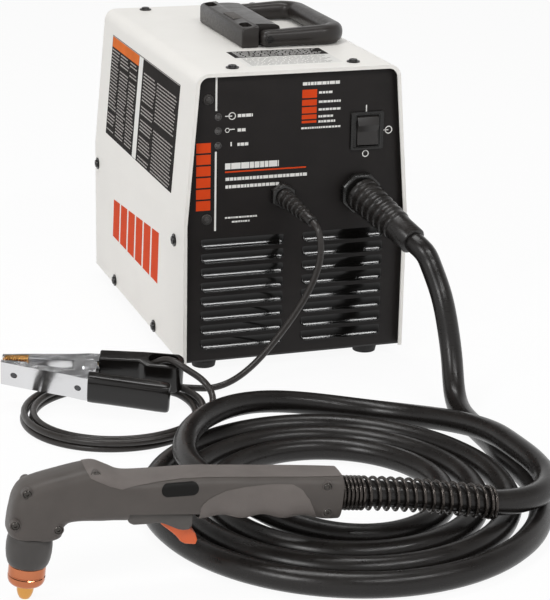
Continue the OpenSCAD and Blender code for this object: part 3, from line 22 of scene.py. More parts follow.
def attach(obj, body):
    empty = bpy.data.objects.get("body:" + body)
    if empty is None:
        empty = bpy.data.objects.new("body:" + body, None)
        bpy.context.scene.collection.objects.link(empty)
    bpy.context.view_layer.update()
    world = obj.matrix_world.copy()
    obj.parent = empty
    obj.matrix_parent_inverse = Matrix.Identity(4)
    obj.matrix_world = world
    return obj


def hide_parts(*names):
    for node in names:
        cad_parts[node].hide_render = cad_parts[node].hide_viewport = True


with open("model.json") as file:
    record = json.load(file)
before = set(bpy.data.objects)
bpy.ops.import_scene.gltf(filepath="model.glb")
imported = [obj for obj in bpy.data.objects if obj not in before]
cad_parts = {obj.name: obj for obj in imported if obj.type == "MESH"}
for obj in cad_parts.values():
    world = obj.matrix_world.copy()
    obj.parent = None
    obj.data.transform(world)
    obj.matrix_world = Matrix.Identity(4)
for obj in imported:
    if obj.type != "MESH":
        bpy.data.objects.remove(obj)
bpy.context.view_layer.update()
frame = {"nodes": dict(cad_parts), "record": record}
nodes = frame["nodes"]
print("solids loaded:", len(nodes))


def put(name, data):
    obj = bpy.data.objects.new(name, data)
    bpy.context.scene.collection.objects.link(obj)
    return obj


# %% [markdown]
# ## Frames
# The torch lies at a slant on its tip and its cable, and the clamp leans on its side. It
# would be hard to draw them in place, so each is drawn square in a frame of its own, and
# its matrix lays it down. A matrix product reads from right to left: first the turns,
# then the shift, then the scale to metres. The case's own measures come first: half its
# width, its top, the height where its sides begin to lean and how far they lean.

# %% Frames of the case, the torch and the clamp
def shift(x, y, z):
    return Matrix.Translation((x, y, z))


def turn(axis, degrees):
    return Matrix.Rotation(math.radians(degrees), 4, axis)


CASE_HALF, CASE_TOP, SHOULDER = 100, 251, 122
SLOPE_X, SLOPE_Z = 11, 129
PANEL_Y = 5
GROUND = Matrix.Scale(0.001, 4) @ shift(112, 41.6, 0)
CASE = GROUND @ shift(0, 0, 10)
TORCH_ON_GROUND = shift(-316, -372, 0.3) @ turn("Z", -2.2) @ turn("Y", 6)
TORCH = GROUND @ TORCH_ON_GROUND
CLAMP_ON_GROUND = shift(-196, -45, 26.5) @ turn("Z", -20) @ turn("Y", 4) @ turn("X", 19)
CLAMP = GROUND @ CLAMP_ON_GROUND
print("torch tip in metres:", tuple(round(v, 4) for v in TORCH @ Vector((0, 0, 0))))

# %% [markdown]
# ## Camera
# The camera looks down on the unit from the front left, as a catalogue would show it.
# A camera in Blender looks along its own minus Z, so its matrix is built from three
# directions: right, up and backward. The long lens keeps the edges nearly parallel.

# %% Camera
FOCAL_PX = 2052
IMAGE_W = 550
SENSOR = 36
CAMERA_PLACE = (-0.4474, -1.5338, 0.6097)
YAW_PITCH_ROLL = (18.95, 18.21, 1.14)


def camera_matrix(place, yaw, pitch, roll):
    cy, sy = math.cos(yaw), math.sin(yaw)
    cp, sp = math.cos(pitch), math.sin(pitch)
    ahead = Vector((sy * cp, cy * cp, -sp))
    right = Vector((cy, -sy, 0))
    up = right.cross(ahead)
    right_r = right * math.cos(roll) + up * math.sin(roll)
    up_r = up * math.cos(roll) - right * math.sin(roll)
    rows = [(right_r[i], up_r[i], -ahead[i], place[i]) for i in range(3)]
    return Matrix(rows + [(0, 0, 0, 1)])


camera_data = bpy.data.cameras.new("catalogue_camera")
camera_data.sensor_fit = "HORIZONTAL"
camera_data.sensor_width = SENSOR
camera_data.lens = FOCAL_PX / IMAGE_W * SENSOR
camera_data.clip_end = 20
camera = put("catalogue_camera", camera_data)
camera.matrix_world = camera_matrix(CAMERA_PLACE, *(math.radians(a) for a in YAW_PITCH_ROLL))
bpy.context.scene.camera = camera
bpy.context.scene.view_settings.view_transform = "Standard"
print("lens in millimetres:", round(camera_data.lens, 1))

# %% [markdown]
# ## Floor and light
# A cut-out on white wants a pale floor that fades into a pale world, and soft light from
# large lamps. Small lamps would leave hard shadows and pin-point glints on the black
# plastic. Large area lamps overhead give the long soft streaks that show how round a
# black cable is. Floor and world each have two shaders: one for what the camera sees of
# them, directly or in a mirror, and one for the light that they give to everything else.

# %% Helpers that add nodes: a socket is linked, any other value is set on the input itself
def feed(tree, node, inputs):
    for label, value in inputs.items():
        if isinstance(value, bpy.types.NodeSocket):
            tree.links.new(value, node.inputs[label])
        else:
            node.inputs[label].default_value = value


def add_node(tree, kind, inputs=None, **settings):
    node = tree.nodes.new("ShaderNode" + kind)
    for label, value in settings.items():
        setattr(node, label, value)
    feed(tree, node, inputs or {})
    return node


def add_math(tree, operation, a, b):
    return add_node(tree, "Math", {0: a, 1: b}, operation=operation).outputs[0]


def add_range(tree, value, low, high, to_low=0.0, to_high=1.0):
    return add_node(tree, "MapRange", {"Value": value, "From Min": low, "From Max": high,
                                       "To Min": to_low, "To Max": to_high}).outputs["Result"]


def seen_directly(tree):
    path = add_node(tree, "LightPath")
    seen = path.outputs["Is Camera Ray"]
    for label in ("Is Glossy Ray", "Is Transmission Ray"):
        seen = add_math(tree, "MAXIMUM", seen, path.outputs[label])
    return seen


def mix_with_seen(tree, lit, seen, share, output):
    part = add_math(tree, "MULTIPLY", seen_directly(tree), share)
    mix = add_node(tree, "MixShader", {0: part, 1: lit.outputs[0], 2: seen.outputs[0]})
    feed(tree, tree.nodes[output], {0: mix.outputs[0]})


# %% Floor
def plane(name, size, z):
    mesh = bpy.data.meshes.new(name)
    s = size / 2
    mesh.from_pydata([(-s, -s, z), (s, -s, z), (s, s, z), (-s, s, z)], [], [(0, 1, 2, 3)])
    return put(name, mesh)


def floor_material(glow):
    material = bpy.data.materials.new("pale_floor")
    material.use_nodes = True
    tree = material.node_tree
    matt = tree.nodes["Principled BSDF"]
    feed(tree, matt, {"Base Color": (0.94, 0.94, 0.94, 1), "Roughness": 0.9,
                      "Specular IOR Level": 0.0})
    white = add_node(tree, "Emission", {"Strength": 1.0})
    mix_with_seen(tree, matt, white, glow, "Material Output")
    return material


floor = plane("pale_floor", 30, -0.0002)
floor.data.materials.append(floor_material(0.93))


# %% World: white round the horizon, darker overhead
def build_world(strength, seen_strength, overhead):
    world = bpy.data.worlds.new("studio")
    bpy.context.scene.world = world
    world.use_nodes = True
    tree = world.node_tree
    way = add_node(tree, "TexCoord").outputs["Generated"]
    height = add_node(tree, "SeparateXYZ", {0: way}).outputs["Z"]
    tone = add_range(tree, height, 0.2, 0.75, 1.0, overhead)
    light = tree.nodes["Background"]
    feed(tree, light, {"Strength": strength, "Color": tone})
    seen = add_node(tree, "Background", {"Strength": seen_strength, "Color": tone})
    mix_with_seen(tree, light, seen, 1.0, "World Output")


build_world(0.7, 1.04, 0.12)


# %% Lamps
def lamp(name, place, aim, size, watts):
    data = bpy.data.lights.new(name, "AREA")
    data.shape = "RECTANGLE"
    data.size, data.size_y = size
    data.energy = watts
    obj = put(name, data)
    obj.location = place
    obj.rotation_euler = (Vector(aim) - Vector(place)).to_track_quat("-Z", "Y").to_euler()


lamp("overhead_box", (-0.1, 0.3, 2.2), (0, 0, 0), (1.5, 0.5), 20)
lamp("front_left_box", (-1.9, -1.5, 1.6), (0, 0, 0.1), (0.8, 0.8), 25)
lamp("front_bar", (0.5, -1.4, 1.75), (0, 0, 0.1), (1.3, 0.1), 13)

# %% [markdown]
# ## Cables
# A cable is a length of something springy. The torch cable leaves its boot, drops to the
# ground, winds through four loops and climbs over them to the torch. The work lead is
# thinner and makes a small coil under its clamp. A curve with a round bevel is the right
# tool, because its own line is the line of the cable. The line runs through a few chosen
# points on a Catmull-Rom curve, is cut into even steps, and is then relaxed a little,
# since a real jacket never bends in a sharp corner.

# %% Lines through points
def curve_at(p, i, u):
    a, b = np.array(p[max(i - 1, 0)]), np.array(p[i])
    c, d = np.array(p[min(i + 1, len(p) - 1)]), np.array(p[min(i + 2, len(p) - 1)])
    return 0.5 * (2 * b + (c - a) * u + (2 * a - 5 * b + 4 * c - d) * u * u
                  + (3 * b - a - 3 * c + d) * u ** 3)


def smooth_route(p, steps):
    return [curve_at(p, i, k / steps) for i in range(len(p) - 1) for k in range(steps)] + [
        np.array(p[-1], float)]


def even_steps(points, step):
    points = np.array(points, float)
    along = np.concatenate([[0], np.cumsum(np.linalg.norm(np.diff(points, axis=0), axis=1))])
    marks = np.linspace(0, along[-1], max(int(along[-1] / step), 2) + 1)
    return np.stack([np.interp(marks, along, points[:, k]) for k in range(3)], 1)


def relaxed(points, rounds):
    p = points.copy()
    for _ in range(rounds):
        p[1:-1] = 0.25 * p[:-2] + 0.5 * p[1:-1] + 0.25 * p[2:]
    return p


def length_of(points):
    return float(np.linalg.norm(np.diff(points, axis=0), axis=1).sum())


def unit(v):
    v = np.array(v, float)
    return v / np.linalg.norm(v)


def placed(matrix, points):
    return [tuple(matrix @ Vector(p)) for p in points]


# %% Line of the torch cable
TORCH_CABLE = 18
TORCH_BOOT_L = 71
TORCH_WAY = unit((25, -64, -28))
TORCH_START = np.array((57, -1, 151)) + TORCH_BOOT_L * TORCH_WAY
TORCH_LEAD = [(89, -76, 113), (93, -100, 85), (95, -118, 45), (90, -140, 16), (86, -165, 9),
              (84, -200, 9), (83, -232, 9)]
LAST_LOOP = [(85, 9), (81, 9), (77, 9), (76, 13), (90, 27), (122, 29), (150, 28), (164, 13),
             (152, 28)]
TORCH_TAIL = [(77, -288, 28), (78, -316, 28), (73, -346, 28), (58, -369, 29), (37, -381, 30.5)]
COIL_X, COIL_Y = -67, -290
TURN_POINTS = 48
SPRING_X = 207
SPRING_L = 118
TAIL_Z = 74.4


def torch_coil_point(t):
    if t <= 3:
        reach, height = 157 - 24 * t, TORCH_CABLE / 2
    else:
        s = (t - 3) * 8
        i = min(int(s), len(LAST_LOOP) - 2)
        reach, height = curve_at(LAST_LOOP, i, s - i)
    a = math.radians(12 - 360 * t)
    return (COIL_X + 0.95 * reach * math.cos(a), COIL_Y + reach * math.sin(a), height)


def spring_line(x):
    return (SPRING_X + x, 0, TAIL_Z - 7.7 * (x / SPRING_L) ** 2)


def torch_cable_line():
    lead = smooth_route([TORCH_START, TORCH_START + TORCH_CABLE * TORCH_WAY] + TORCH_LEAD
                        + [torch_coil_point(0)], 8)
    coil = [torch_coil_point(k / TURN_POINTS) for k in range(1, 4 * TURN_POINTS)]
    inside = [spring_line(f * SPRING_L) for f in (1, 0.8, 0.6, 0.4, 0.2, 0)]
    inside.append((SPRING_X - 14, 0, TAIL_Z))
    tail = smooth_route([torch_coil_point(4)] + TORCH_TAIL + placed(TORCH_ON_GROUND, inside), 8)
    return relaxed(even_steps(list(lead[:-1]) + coil + list(tail), 5), 4)


torch_line = torch_cable_line()
print("torch cable in metres:", round(length_of(torch_line) / 1000, 3))

# %% Line of the work lead
WORK_LEAD_D = 5.5
WORK_BOOT_L = 43
WORK_WAY = unit((12, -40, -12.5))
WORK_START = np.array((-12.5, -1, 153)) + WORK_BOOT_L * WORK_WAY
WORK_LEAD = [(2, -50, 133), (3, -52, 120), (1, -52, 105), (-6, -51, 86), (-17, -49, 66),
             (-32, -46, 44), (-50, -44, 23), (-68, -42, 9), (-86, -40, 3), (-104, -34, 2.8),
             (-122, -25, 2.8)]
WORK_RISE = [(-107, -106, 12.5), (-102.5, -94, 18.5), (-107, -82.5, 27)]
WORK_TURNS = 3 + 17 / 24
LUG = (12, 13.0, 4)
IN_CLAMP = [(81, 2.5, 15.3), (71, 8.5, 17), (62, 13, 14), (53, 14.2, 7.2), (45, 14.2, 4.9),
            (36, 13.8, 4.3), (LUG[0] + 14.5, LUG[1], LUG[2]), (LUG[0] + 9, LUG[1], LUG[2])]


def work_coil_point(t):
    a = math.radians(60 + 360 * t)
    inward = 7.3 * min(t, WORK_TURNS - t)
    layer = max(0, min(1, (t - WORK_TURNS / 2) / 0.5 + 0.5))
    return (-178.5 + (77 - inward) * math.cos(a), -79 + (74 - inward) * math.sin(a),
            WORK_LEAD_D / 2 + 6 * layer)


def work_lead_line():
    lead = smooth_route([WORK_START, WORK_START + WORK_LEAD_D * WORK_WAY] + WORK_LEAD
                        + [work_coil_point(0)], 8)
    coil = [work_coil_point(k / TURN_POINTS) for k in range(1, int(WORK_TURNS * TURN_POINTS))]
    tail = smooth_route([work_coil_point(WORK_TURNS)] + WORK_RISE
                        + placed(CLAMP_ON_GROUND, IN_CLAMP), 8)
    return relaxed(even_steps(list(lead[:-1]) + coil + list(tail), 2.5), 4)


work_line = work_lead_line()
print("work lead in metres:", round(length_of(work_line) / 1000, 3))

# %% [markdown]
# ## Shared effects
# Three things happen to almost every surface of a tool: moulding or coating leaves a fine
# grain, dust settles on what faces up, and handling leaves faint rub marks. Each effect is
# a node group with its own sliders, so that the case, the rubber and the metal use the
# same recipe with other values. A group puts out numbers only. The shader that uses them
# stays in the material, where it can be read at a glance.

# %% Helpers for a node group
def effect_group(name, inputs, outputs):
    group = bpy.data.node_groups.new(name, "ShaderNodeTree")
    for label, value in inputs:
        socket = group.interface.new_socket(label, in_out="INPUT", socket_type="NodeSocketFloat")
        socket.default_value = value
    for label in outputs:
        group.interface.new_socket(label, in_out="OUTPUT", socket_type="NodeSocketFloat")
    return group, group.nodes.new("NodeGroupInput"), group.nodes.new("NodeGroupOutput")


def add_noise(tree, vector, scale, detail=3.0, roughness=0.55):
    return add_node(tree, "TexNoise", {"Vector": vector, "Scale": scale, "Detail": detail,
                                       "Roughness": roughness}).outputs["Fac"]


# %% Fine grain: a height for the bump and a slow change of tone
def build_grain():
    group, inp, out = effect_group("fine_grain", [("Scale", 900.0)], ["Height", "Tone"])
    place = add_node(group, "TexCoord").outputs["Object"]
    height = add_noise(group, place, inp.outputs["Scale"])
    slow = add_math(group, "MULTIPLY", inp.outputs["Scale"], 0.03)
    tone = add_range(group, add_noise(group, place, slow, 4.0), 0.3, 0.7)
    feed(group, out, {"Height": height, "Tone": tone})
    return group


GRAIN = build_grain()


# %% Settled dust: on faces that look up, in soft patches
def build_dust():
    group, inp, out = effect_group("settled_dust", [("Amount", 0.3)], ["Mask"])
    normal = add_node(group, "NewGeometry").outputs["Normal"]
    upward = add_range(group, add_node(group, "SeparateXYZ", {0: normal}).outputs["Z"], 0.2, 1.0)
    place = add_node(group, "TexCoord").outputs["Object"]
    patches = add_range(group, add_noise(group, place, 45.0, 5.0, 0.65), 0.35, 0.75)
    both = add_math(group, "MULTIPLY", upward, patches)
    feed(group, out, {"Mask": add_math(group, "MULTIPLY", both, inp.outputs["Amount"])})
    return group


DUST = build_dust()


# %% Rub marks: long thin streaks that change the gloss
def build_rubs():
    group, inp, out = effect_group("rub_marks", [("Scale", 40.0), ("Amount", 0.1)], ["Change"])
    place = add_node(group, "TexCoord").outputs["Object"]
    stretch = add_node(group, "Mapping", {"Vector": place, "Scale": (1.0, 5.0, 9.0),
                                          "Rotation": (0.3, 0.5, 0.2)})
    streaks = add_noise(group, stretch.outputs[0], inp.outputs["Scale"], 6.0, 0.7)
    change = add_range(group, streaks, 0.3, 0.75, -1.0, 1.0)
    feed(group, out, {"Change": add_math(group, "MULTIPLY", change, inp.outputs["Amount"])})
    return group


RUBS = build_rubs()
print("shared effects:", [g.name for g in bpy.data.node_groups])


# %% [markdown]
# ## Finishes
# One function lays a finish out, so that every surface has the same readable chain: base
# colour with its tone, then dust; roughness with rub marks; grain in the bump. The sizes
# differ a lot. Powder coat has a soft orange-peel of about a millimetre, moulded plastic a
# spark-eroded grain of a third of that, and drawn or plated metal is smooth with fine
# scratches. A row of the table gives a finish its colour, its roughness, its grains per
# metre, their depth in millimetres, and what differs from the usual.

# %% The finish builder
def add_group(tree, group, **values):
    return add_node(tree, "Group", values, node_tree=group)


def add_mix(tree, factor, a, b):
    node = add_node(tree, "Mix", {"Factor": factor}, data_type="RGBA")
    feed(tree, node, {6: a, 7: b})
    return node.outputs[2]


def shade(colour, k):
    return tuple(min(1.0, c * k) for c in colour) + (1.0,)


def finish(name, colour, rough, grain, depth, metal=0.0, tone=0.08, dust=0.2,
           rubs=(40.0, 0.06), coat=0.0, dust_colour=(0.42, 0.39, 0.36), shine=0.5):
    material = bpy.data.materials.new(name)
    material.use_nodes = True
    tree = material.node_tree
    shader = tree.nodes["Principled BSDF"]
    grained = add_group(tree, GRAIN, Scale=grain)
    dusty = add_group(tree, DUST, Amount=dust)
    rubbed = add_group(tree, RUBS, Scale=rubs[0], Amount=rubs[1])
    base = add_mix(tree, grained.outputs["Tone"], shade(colour, 1 - tone), shade(colour, 1 + tone))
    gloss = add_math(tree, "ADD", rubbed.outputs["Change"], rough)
    bump = add_node(tree, "Bump", {"Strength": 0.6, "Distance": depth / 1000,
                                   "Height": grained.outputs["Height"]})
    feed(tree, shader, {
        "Base Color": add_mix(tree, dusty.outputs["Mask"], base, shade(dust_colour, 1)),
        "Roughness": add_math(tree, "ADD", gloss, dusty.outputs["Mask"]),
        "Normal": bump.outputs[0], "Metallic": metal, "Specular IOR Level": shine,
        "Coat Weight": coat, "Coat Roughness": 0.12})
    return material


# %% The table of finishes
RECIPES = {
    "case_paint": ((0.84, 0.82, 0.78), 0.42, 700, 0.035, dict(tone=0.012, dust=0.05,
        rubs=(30, 0.05), dust_colour=(0.62, 0.59, 0.54))),
    "panel_plastic": ((0.0115, 0.0095, 0.009), 0.42, 1600, 0.03, dict(tone=0.15, dust=0.02,
        shine=0.2)),
    "hood_gloss": ((0.003, 0.0027, 0.0025), 0.11, 1600, 0.01, dict(tone=0.1, dust=0.0,
        rubs=(60, 0.04), shine=0.4)),
    "knob_plastic": ((0.028, 0.025, 0.023), 0.3, 1600, 0.02, {}),
    "rocker_plastic": ((0.02, 0.018, 0.017), 0.34, 1800, 0.02, dict(dust=0.1, rubs=(80, 0.06),
        shine=0.4)),
    "gland_gloss": ((0.008, 0.0075, 0.007), 0.25, 1500, 0.03, dict(dust=0.1, rubs=(60, 0.08))),
    "black_paint": ((0.02, 0.019, 0.019), 0.38, 900, 0.04, dict(dust=0.25)),
    "foot_rubber": ((0.016, 0.015, 0.015), 0.7, 1400, 0.08, dict(dust=0.3)),
    "screw_black": ((0.012, 0.011, 0.011), 0.3, 2500, 0.02, dict(metal=0.4, dust=0.1)),
    "screw_steel": ((0.62, 0.62, 0.62), 0.28, 2500, 0.02, dict(metal=1, dust=0.1)),
    "handle_plastic": ((0.021, 0.018, 0.0165), 0.36, 1100, 0.1, dict(tone=0.12, dust=0.08,
        rubs=(60, 0.1), shine=0.35)),
    "switch_plastic": ((0.008, 0.0075, 0.007), 0.28, 1800, 0.02, dict(dust=0.06, rubs=(80, 0.06),
        shine=0.4)),
    "lens_smoke": ((0.035, 0.032, 0.03), 0.2, 400, 0.01, dict(dust=0.05, coat=0.5)),
    "boot_rubber": ((0.012, 0.0105, 0.0098), 0.28, 1200, 0.05, dict(dust=0.08, rubs=(50, 0.1),
        shine=0.35)),
    "board_laminate": ((0.03, 0.14, 0.06), 0.35, 2500, 0.02, {}),
    "cap_sleeve": ((0.02, 0.03, 0.06), 0.3, 800, 0.03, {}),
    "sink_aluminium": ((0.72, 0.73, 0.75), 0.38, 1800, 0.02, dict(metal=1)),
    "core_iron": ((0.12, 0.12, 0.13), 0.65, 1200, 0.1, dict(metal=0.6)),
    "copper_winding": ((0.55, 0.22, 0.1), 0.3, 900, 0.05, dict(metal=0.9)),
    "motor_paint": ((0.03, 0.03, 0.034), 0.25, 600, 0.05, {}),
    "cast_alloy": ((0.6, 0.61, 0.62), 0.48, 900, 0.15, dict(metal=1)),
    "zinc_sheet": ((0.6, 0.61, 0.63), 0.36, 220, 0.01, dict(metal=1, tone=0.15)),
    "hose_rubber": ((0.02, 0.02, 0.02), 0.45, 900, 0.03, {}),
    "brass": ((0.62, 0.44, 0.18), 0.28, 1500, 0.02, dict(metal=1)),
    "torch_plastic": ((0.078, 0.068, 0.062), 0.46, 1300, 0.09, dict(tone=0.09, dust=0.05,
        rubs=(40, 0.07), shine=0.3)),
    "torch_overlay": ((0.145, 0.128, 0.119), 0.6, 900, 0.14, dict(tone=0.12, dust=0.05,
        shine=0.25)),
    "cup_plastic": ((0.06, 0.055, 0.052), 0.42, 900, 0.06, dict(tone=0.2, dust=0.03, shine=0.35)),
    "torch_copper": ((0.5, 0.175, 0.085), 0.14, 2200, 0.02, dict(metal=1, tone=0.12, dust=0.0,
        rubs=(90, 0.1))),
    "label_black": ((0.007, 0.0065, 0.006), 0.5, 1500, 0.02, dict(dust=0.0, shine=0.15)),
    "lead_jacket": ((0.024, 0.0205, 0.0185), 0.34, 260, 0.35, dict(tone=0.2, dust=0.05,
        rubs=(35, 0.1), shine=0.4)),
    "trigger_plastic": ((0.085, 0.078, 0.073), 0.5, 1500, 0.06, dict(dust=0.06, shine=0.3)),
    "lock_plastic": ((0.72, 0.125, 0.03), 0.35, 1500, 0.03, dict(dust=0.03)),
    "spring_black": ((0.06, 0.052, 0.047), 0.26, 2500, 0.02, dict(metal=0.8, dust=0.1,
        rubs=(90, 0.1))),
    "spring_steel": ((0.6, 0.6, 0.61), 0.25, 2500, 0.02, dict(metal=1, dust=0.0, rubs=(90, 0.08))),
    "clamp_zinc": ((0.74, 0.74, 0.75), 0.2, 350, 0.02, dict(metal=1, dust=0.05, rubs=(70, 0.1))),
    "clamp_vinyl": ((0.009, 0.0078, 0.0072), 0.2, 500, 0.05, dict(dust=0.03, rubs=(50, 0.08),
        shine=0.4)),
    "cable_jacket": ((0.0105, 0.009, 0.0083), 0.3, 500, 0.05, dict(tone=0.1, dust=0.03,
        rubs=(35, 0.07), shine=0.35)),
    "rivet_grey": ((0.1, 0.1, 0.105), 0.35, 1500, 0.03, dict(metal=1)),
    "socket_steel": ((0.07, 0.065, 0.06), 0.22, 2500, 0.02, dict(metal=1)),
    "print_soft": ((0.45, 0.43, 0.415), 0.7, 1200, 0.01, dict(shine=0.05)),
    "tip_brass": ((0.72, 0.36, 0.1), 0.18, 500, 0.25, dict(metal=1, tone=0.3, rubs=(90, 0.1))),
    "print_white": ((0.78, 0.77, 0.74), 0.45, 1200, 0.01, dict(tone=0.03, dust=0.02)),
    "print_orange": ((0.68, 0.066, 0.014), 0.6, 1200, 0.01, dict(tone=0.05, dust=0.0, shine=0.05)),
    "print_dark": ((0.03, 0.0275, 0.0265), 0.8, 1200, 0.01, dict(tone=0.1, dust=0.0, shine=0.03)),
    "print_amber": ((0.72, 0.17, 0.035), 0.7, 1200, 0.01, dict(tone=0.1, dust=0.0, shine=0.05)),
    "pad_grey": ((0.1, 0.093, 0.088), 0.65, 1500, 0.05, dict(dust=0.05, shine=0.1)),
    "print_grey": ((0.26, 0.25, 0.24), 0.45, 1500, 0.01, dict(tone=0.1, dust=0.02)),
}
FINISHES = {name: finish(name, colour, rough, grain, depth, **more)
            for name, (colour, rough, grain, depth, more) in RECIPES.items()}
print("finishes:", len(FINISHES))

# %% Give every solid its finish
for part in frame["record"]["subparts"]:
    for slot in nodes[part["node"]].material_slots:
        slot.material = FINISHES[part["material_slot"]]

# %% [markdown]
# ## Making meshes
# Three shapes cover nearly all pieces here. A lathe turns a profile round an axis, a loft
# skins a row of rings, and a slab lifts a flat outline. Their edges get a narrow bevel,
# because moulded and pressed pieces never end in a knife edge, and it is this bevel that
# catches the light. All work in millimetres and go to metres at the end. The record knows
# fewer finishes than this lesson.


def declare(name, data, slot_name, body, stands_for):
    data.materials.append(FINISHES[slot_name])
    obj = put(name, data)
    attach(obj, body)
    if stands_for:
        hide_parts(*stands_for.split())
    return obj


def add_piece(name, shape, place, slot_name, body="unit", bevel=0.0, segments=2, angle=35,
              smooth=40, stands_for=""):
    verts, faces = shape
    work = bmesh.new()
    points = [work.verts.new(tuple(v)) for v in verts]
    for face in faces:
        work.faces.new([points[i] for i in face])
    bmesh.ops.recalc_face_normals(work, faces=work.faces[:])
    if bevel:
        sharp = [e for e in work.edges
                 if len(e.link_faces) == 2 and e.calc_face_angle() > math.radians(angle)]
        bmesh.ops.bevel(work, geom=sharp, offset=bevel, segments=segments, profile=0.5,
                        affect="EDGES", clamp_overlap=True)
    work.transform(place)
    mesh = bpy.data.meshes.new(name)
    work.to_mesh(mesh)
    work.free()
    mesh.polygons.foreach_set("use_smooth", [True] * len(mesh.polygons))
    mesh.set_sharp_from_angle(angle=math.radians(smooth))
    return declare(name, mesh, slot_name, body, stands_for)


def loft(rings, caps=True):
    n, m = len(rings), len(rings[0])
    verts = [p for ring in rings for p in ring]
    faces = [(i * m + k, i * m + (k + 1) % m, (i + 1) * m + (k + 1) % m, (i + 1) * m + k)
             for i in range(n - 1) for k in range(m)]
    if caps:
        faces += [tuple(range(m)), tuple((n - 1) * m + k for k in reversed(range(m)))]
    return verts, faces


def circle(r, z, steps, spin=0.0):
    return [(r * math.cos(2 * math.pi * (k + spin) / steps),
             r * math.sin(2 * math.pi * (k + spin) / steps), z) for k in range(steps)]


def lathe(profile, steps=48):
    return loft([circle(r, z, steps) for r, z in profile])


def slab(outline, low, high):
    n = len(outline)
    verts = [(x, y, low) for x, y in outline] + [(x, y, high) for x, y in outline]
    faces = [tuple(reversed(range(n))), tuple(range(n, 2 * n))]
    faces += [(i, (i + 1) % n, n + (i + 1) % n, n + i) for i in range(n)]
    return verts, faces


def oblong(half_u, half_v, radius, steps, broad=None):
    points = []
    for quarter, (su, sv) in enumerate(((1, 1), (-1, 1), (-1, -1), (1, -1))):
        r = broad if broad and su > 0 else radius
        for a in np.linspace(0, math.pi / 2, steps) + quarter * math.pi / 2:
            points.append((su * (half_u - radius) + radius * math.cos(a),
                           sv * (half_v - r) + r * math.sin(a)))
    return points


def merged(shapes):
    verts, faces = [], []
    for v, f in shapes:
        faces += [tuple(len(verts) + i for i in g) for g in f]
        verts += v
    return verts, faces


def copies(shape, places):
    verts, faces = shape
    return merged([(placed(place, verts), faces) for place in places])


def tube(path, diameter, sides=10, first=(0, 0, 1)):
    path = np.array(path, float)
    ways = np.gradient(path, axis=0)
    ways /= np.linalg.norm(ways, axis=1)[:, None]
    side, rings = np.array(first, float), []
    for p, w in zip(path, ways):
        side = unit(side - (side @ w) * w)
        other = np.cross(w, side)
        rings.append([p + diameter / 2 * (math.cos(a) * side + math.sin(a) * other)
                      for a in np.linspace(0, 2 * math.pi, sides, endpoint=False)])
    return loft(rings)


# %% [markdown]
# ## The two cables in place
# The curves are made now, each attached to the unit.

# %% Cable curves
def cable(name, line, diameter, slot_name, stands_for):
    data = bpy.data.curves.new(name, "CURVE")
    data.dimensions = "3D"
    data.bevel_depth = diameter / 2000
    data.bevel_resolution = 5
    data.use_fill_caps = True
    spline = data.splines.new("POLY")
    spline.points.add(len(line) - 1)
    for point, p in zip(spline.points, placed(GROUND, line)):
        point.co = (*p, 1)
    spline.use_smooth = True
    return declare(name, data, slot_name, "unit", stands_for)


torch_cable = cable("torch_cable", torch_line, TORCH_CABLE, "cable_jacket",
                    "torch_cable_lead torch_cable_coil torch_cable_tail")
work_lead = cable("work_lead", work_line, WORK_LEAD_D, "lead_jacket",
                  "work_cable_lead work_cable_coil work_cable_tail")
print("points on the cables:", len(torch_line), len(work_line))

# %% [markdown]
# ## Springs
# The torch cable leaves the handle inside a black wire spring: six tight curls, fourteen
# open ones and two tight ones at the end. The clamp is closed by a bright torsion spring
# round its pin. Both are tubes swept along a helix, with more rings than the solids have.

# %% Springs
GUARD_WIRE, GUARD_OUTER = 2.4, 24
CURLS = (6, 14, 2)
TORSION_WIRE, TORSION_OUTER = 1.8, 13


def guard_spring_path(rings=28):
    first, opened, last = CURLS
    tight = GUARD_WIRE + 0.5
    wide = (SPRING_L - GUARD_WIRE - tight * (first + last)) / opened
    r = (GUARD_OUTER - GUARD_WIRE) / 2
    path = []
    for i in range(sum(CURLS) * rings + 1):
        t = i / rings
        open_t = min(max(t - first, 0), opened)
        mid = spring_line(GUARD_WIRE / 2 + tight * (t - open_t) + wide * open_t)
        a = 2 * math.pi * t
        path.append((mid[0], mid[1] + r * math.cos(a), mid[2] + r * math.sin(a)))
    return path


add_piece("cable_guard_spring", tube(guard_spring_path(), GUARD_WIRE, 10, (1, 0, 0)), TORCH,
          "spring_black", smooth=80, stands_for="torch_cable_spring")


def torsion_spring_paths(rings=28):
    slant, leg_l, step = 15.5, 46, 2.3
    r = (TORSION_OUTER - TORSION_WIRE) / 2
    start = 90 + slant
    turns = 4 - 2 * start / 360
    z0 = -turns * step / 2

    def at(a, z):
        return np.array((r * math.cos(math.radians(a)), r * math.sin(math.radians(a)), z))

    far = np.array((math.cos(math.radians(slant)), math.sin(math.radians(slant)), 0))
    near = far * (1, -1, 1)
    leave = at(start, z0)
    path = [leave + s * leg_l * far for s in (1, 0.75, 0.5, 0.25, 0.08)]
    path += [at(start + 360 * turns * i / (turns * rings), z0 + step * i / rings)
             for i in range(int(turns * rings) + 1)]
    leave = at(-start, turns * step / 2)
    return path, [leave + s * near for s in (0.3, leg_l / 2, leg_l)]


coil_path, leg_path = torsion_spring_paths()
clamp_coil = add_piece("torsion_spring", tube(coil_path, TORSION_WIRE, 10), CLAMP, "spring_steel",
                       smooth=80, stands_for="clamp_spring")
clamp_leg = add_piece("torsion_spring_leg", tube(leg_path, TORSION_WIRE, 10), CLAMP,
                      "spring_steel", "clamp_near", smooth=80, stands_for="clamp_spring_leg")
print("curls on the guard spring:", sum(CURLS))

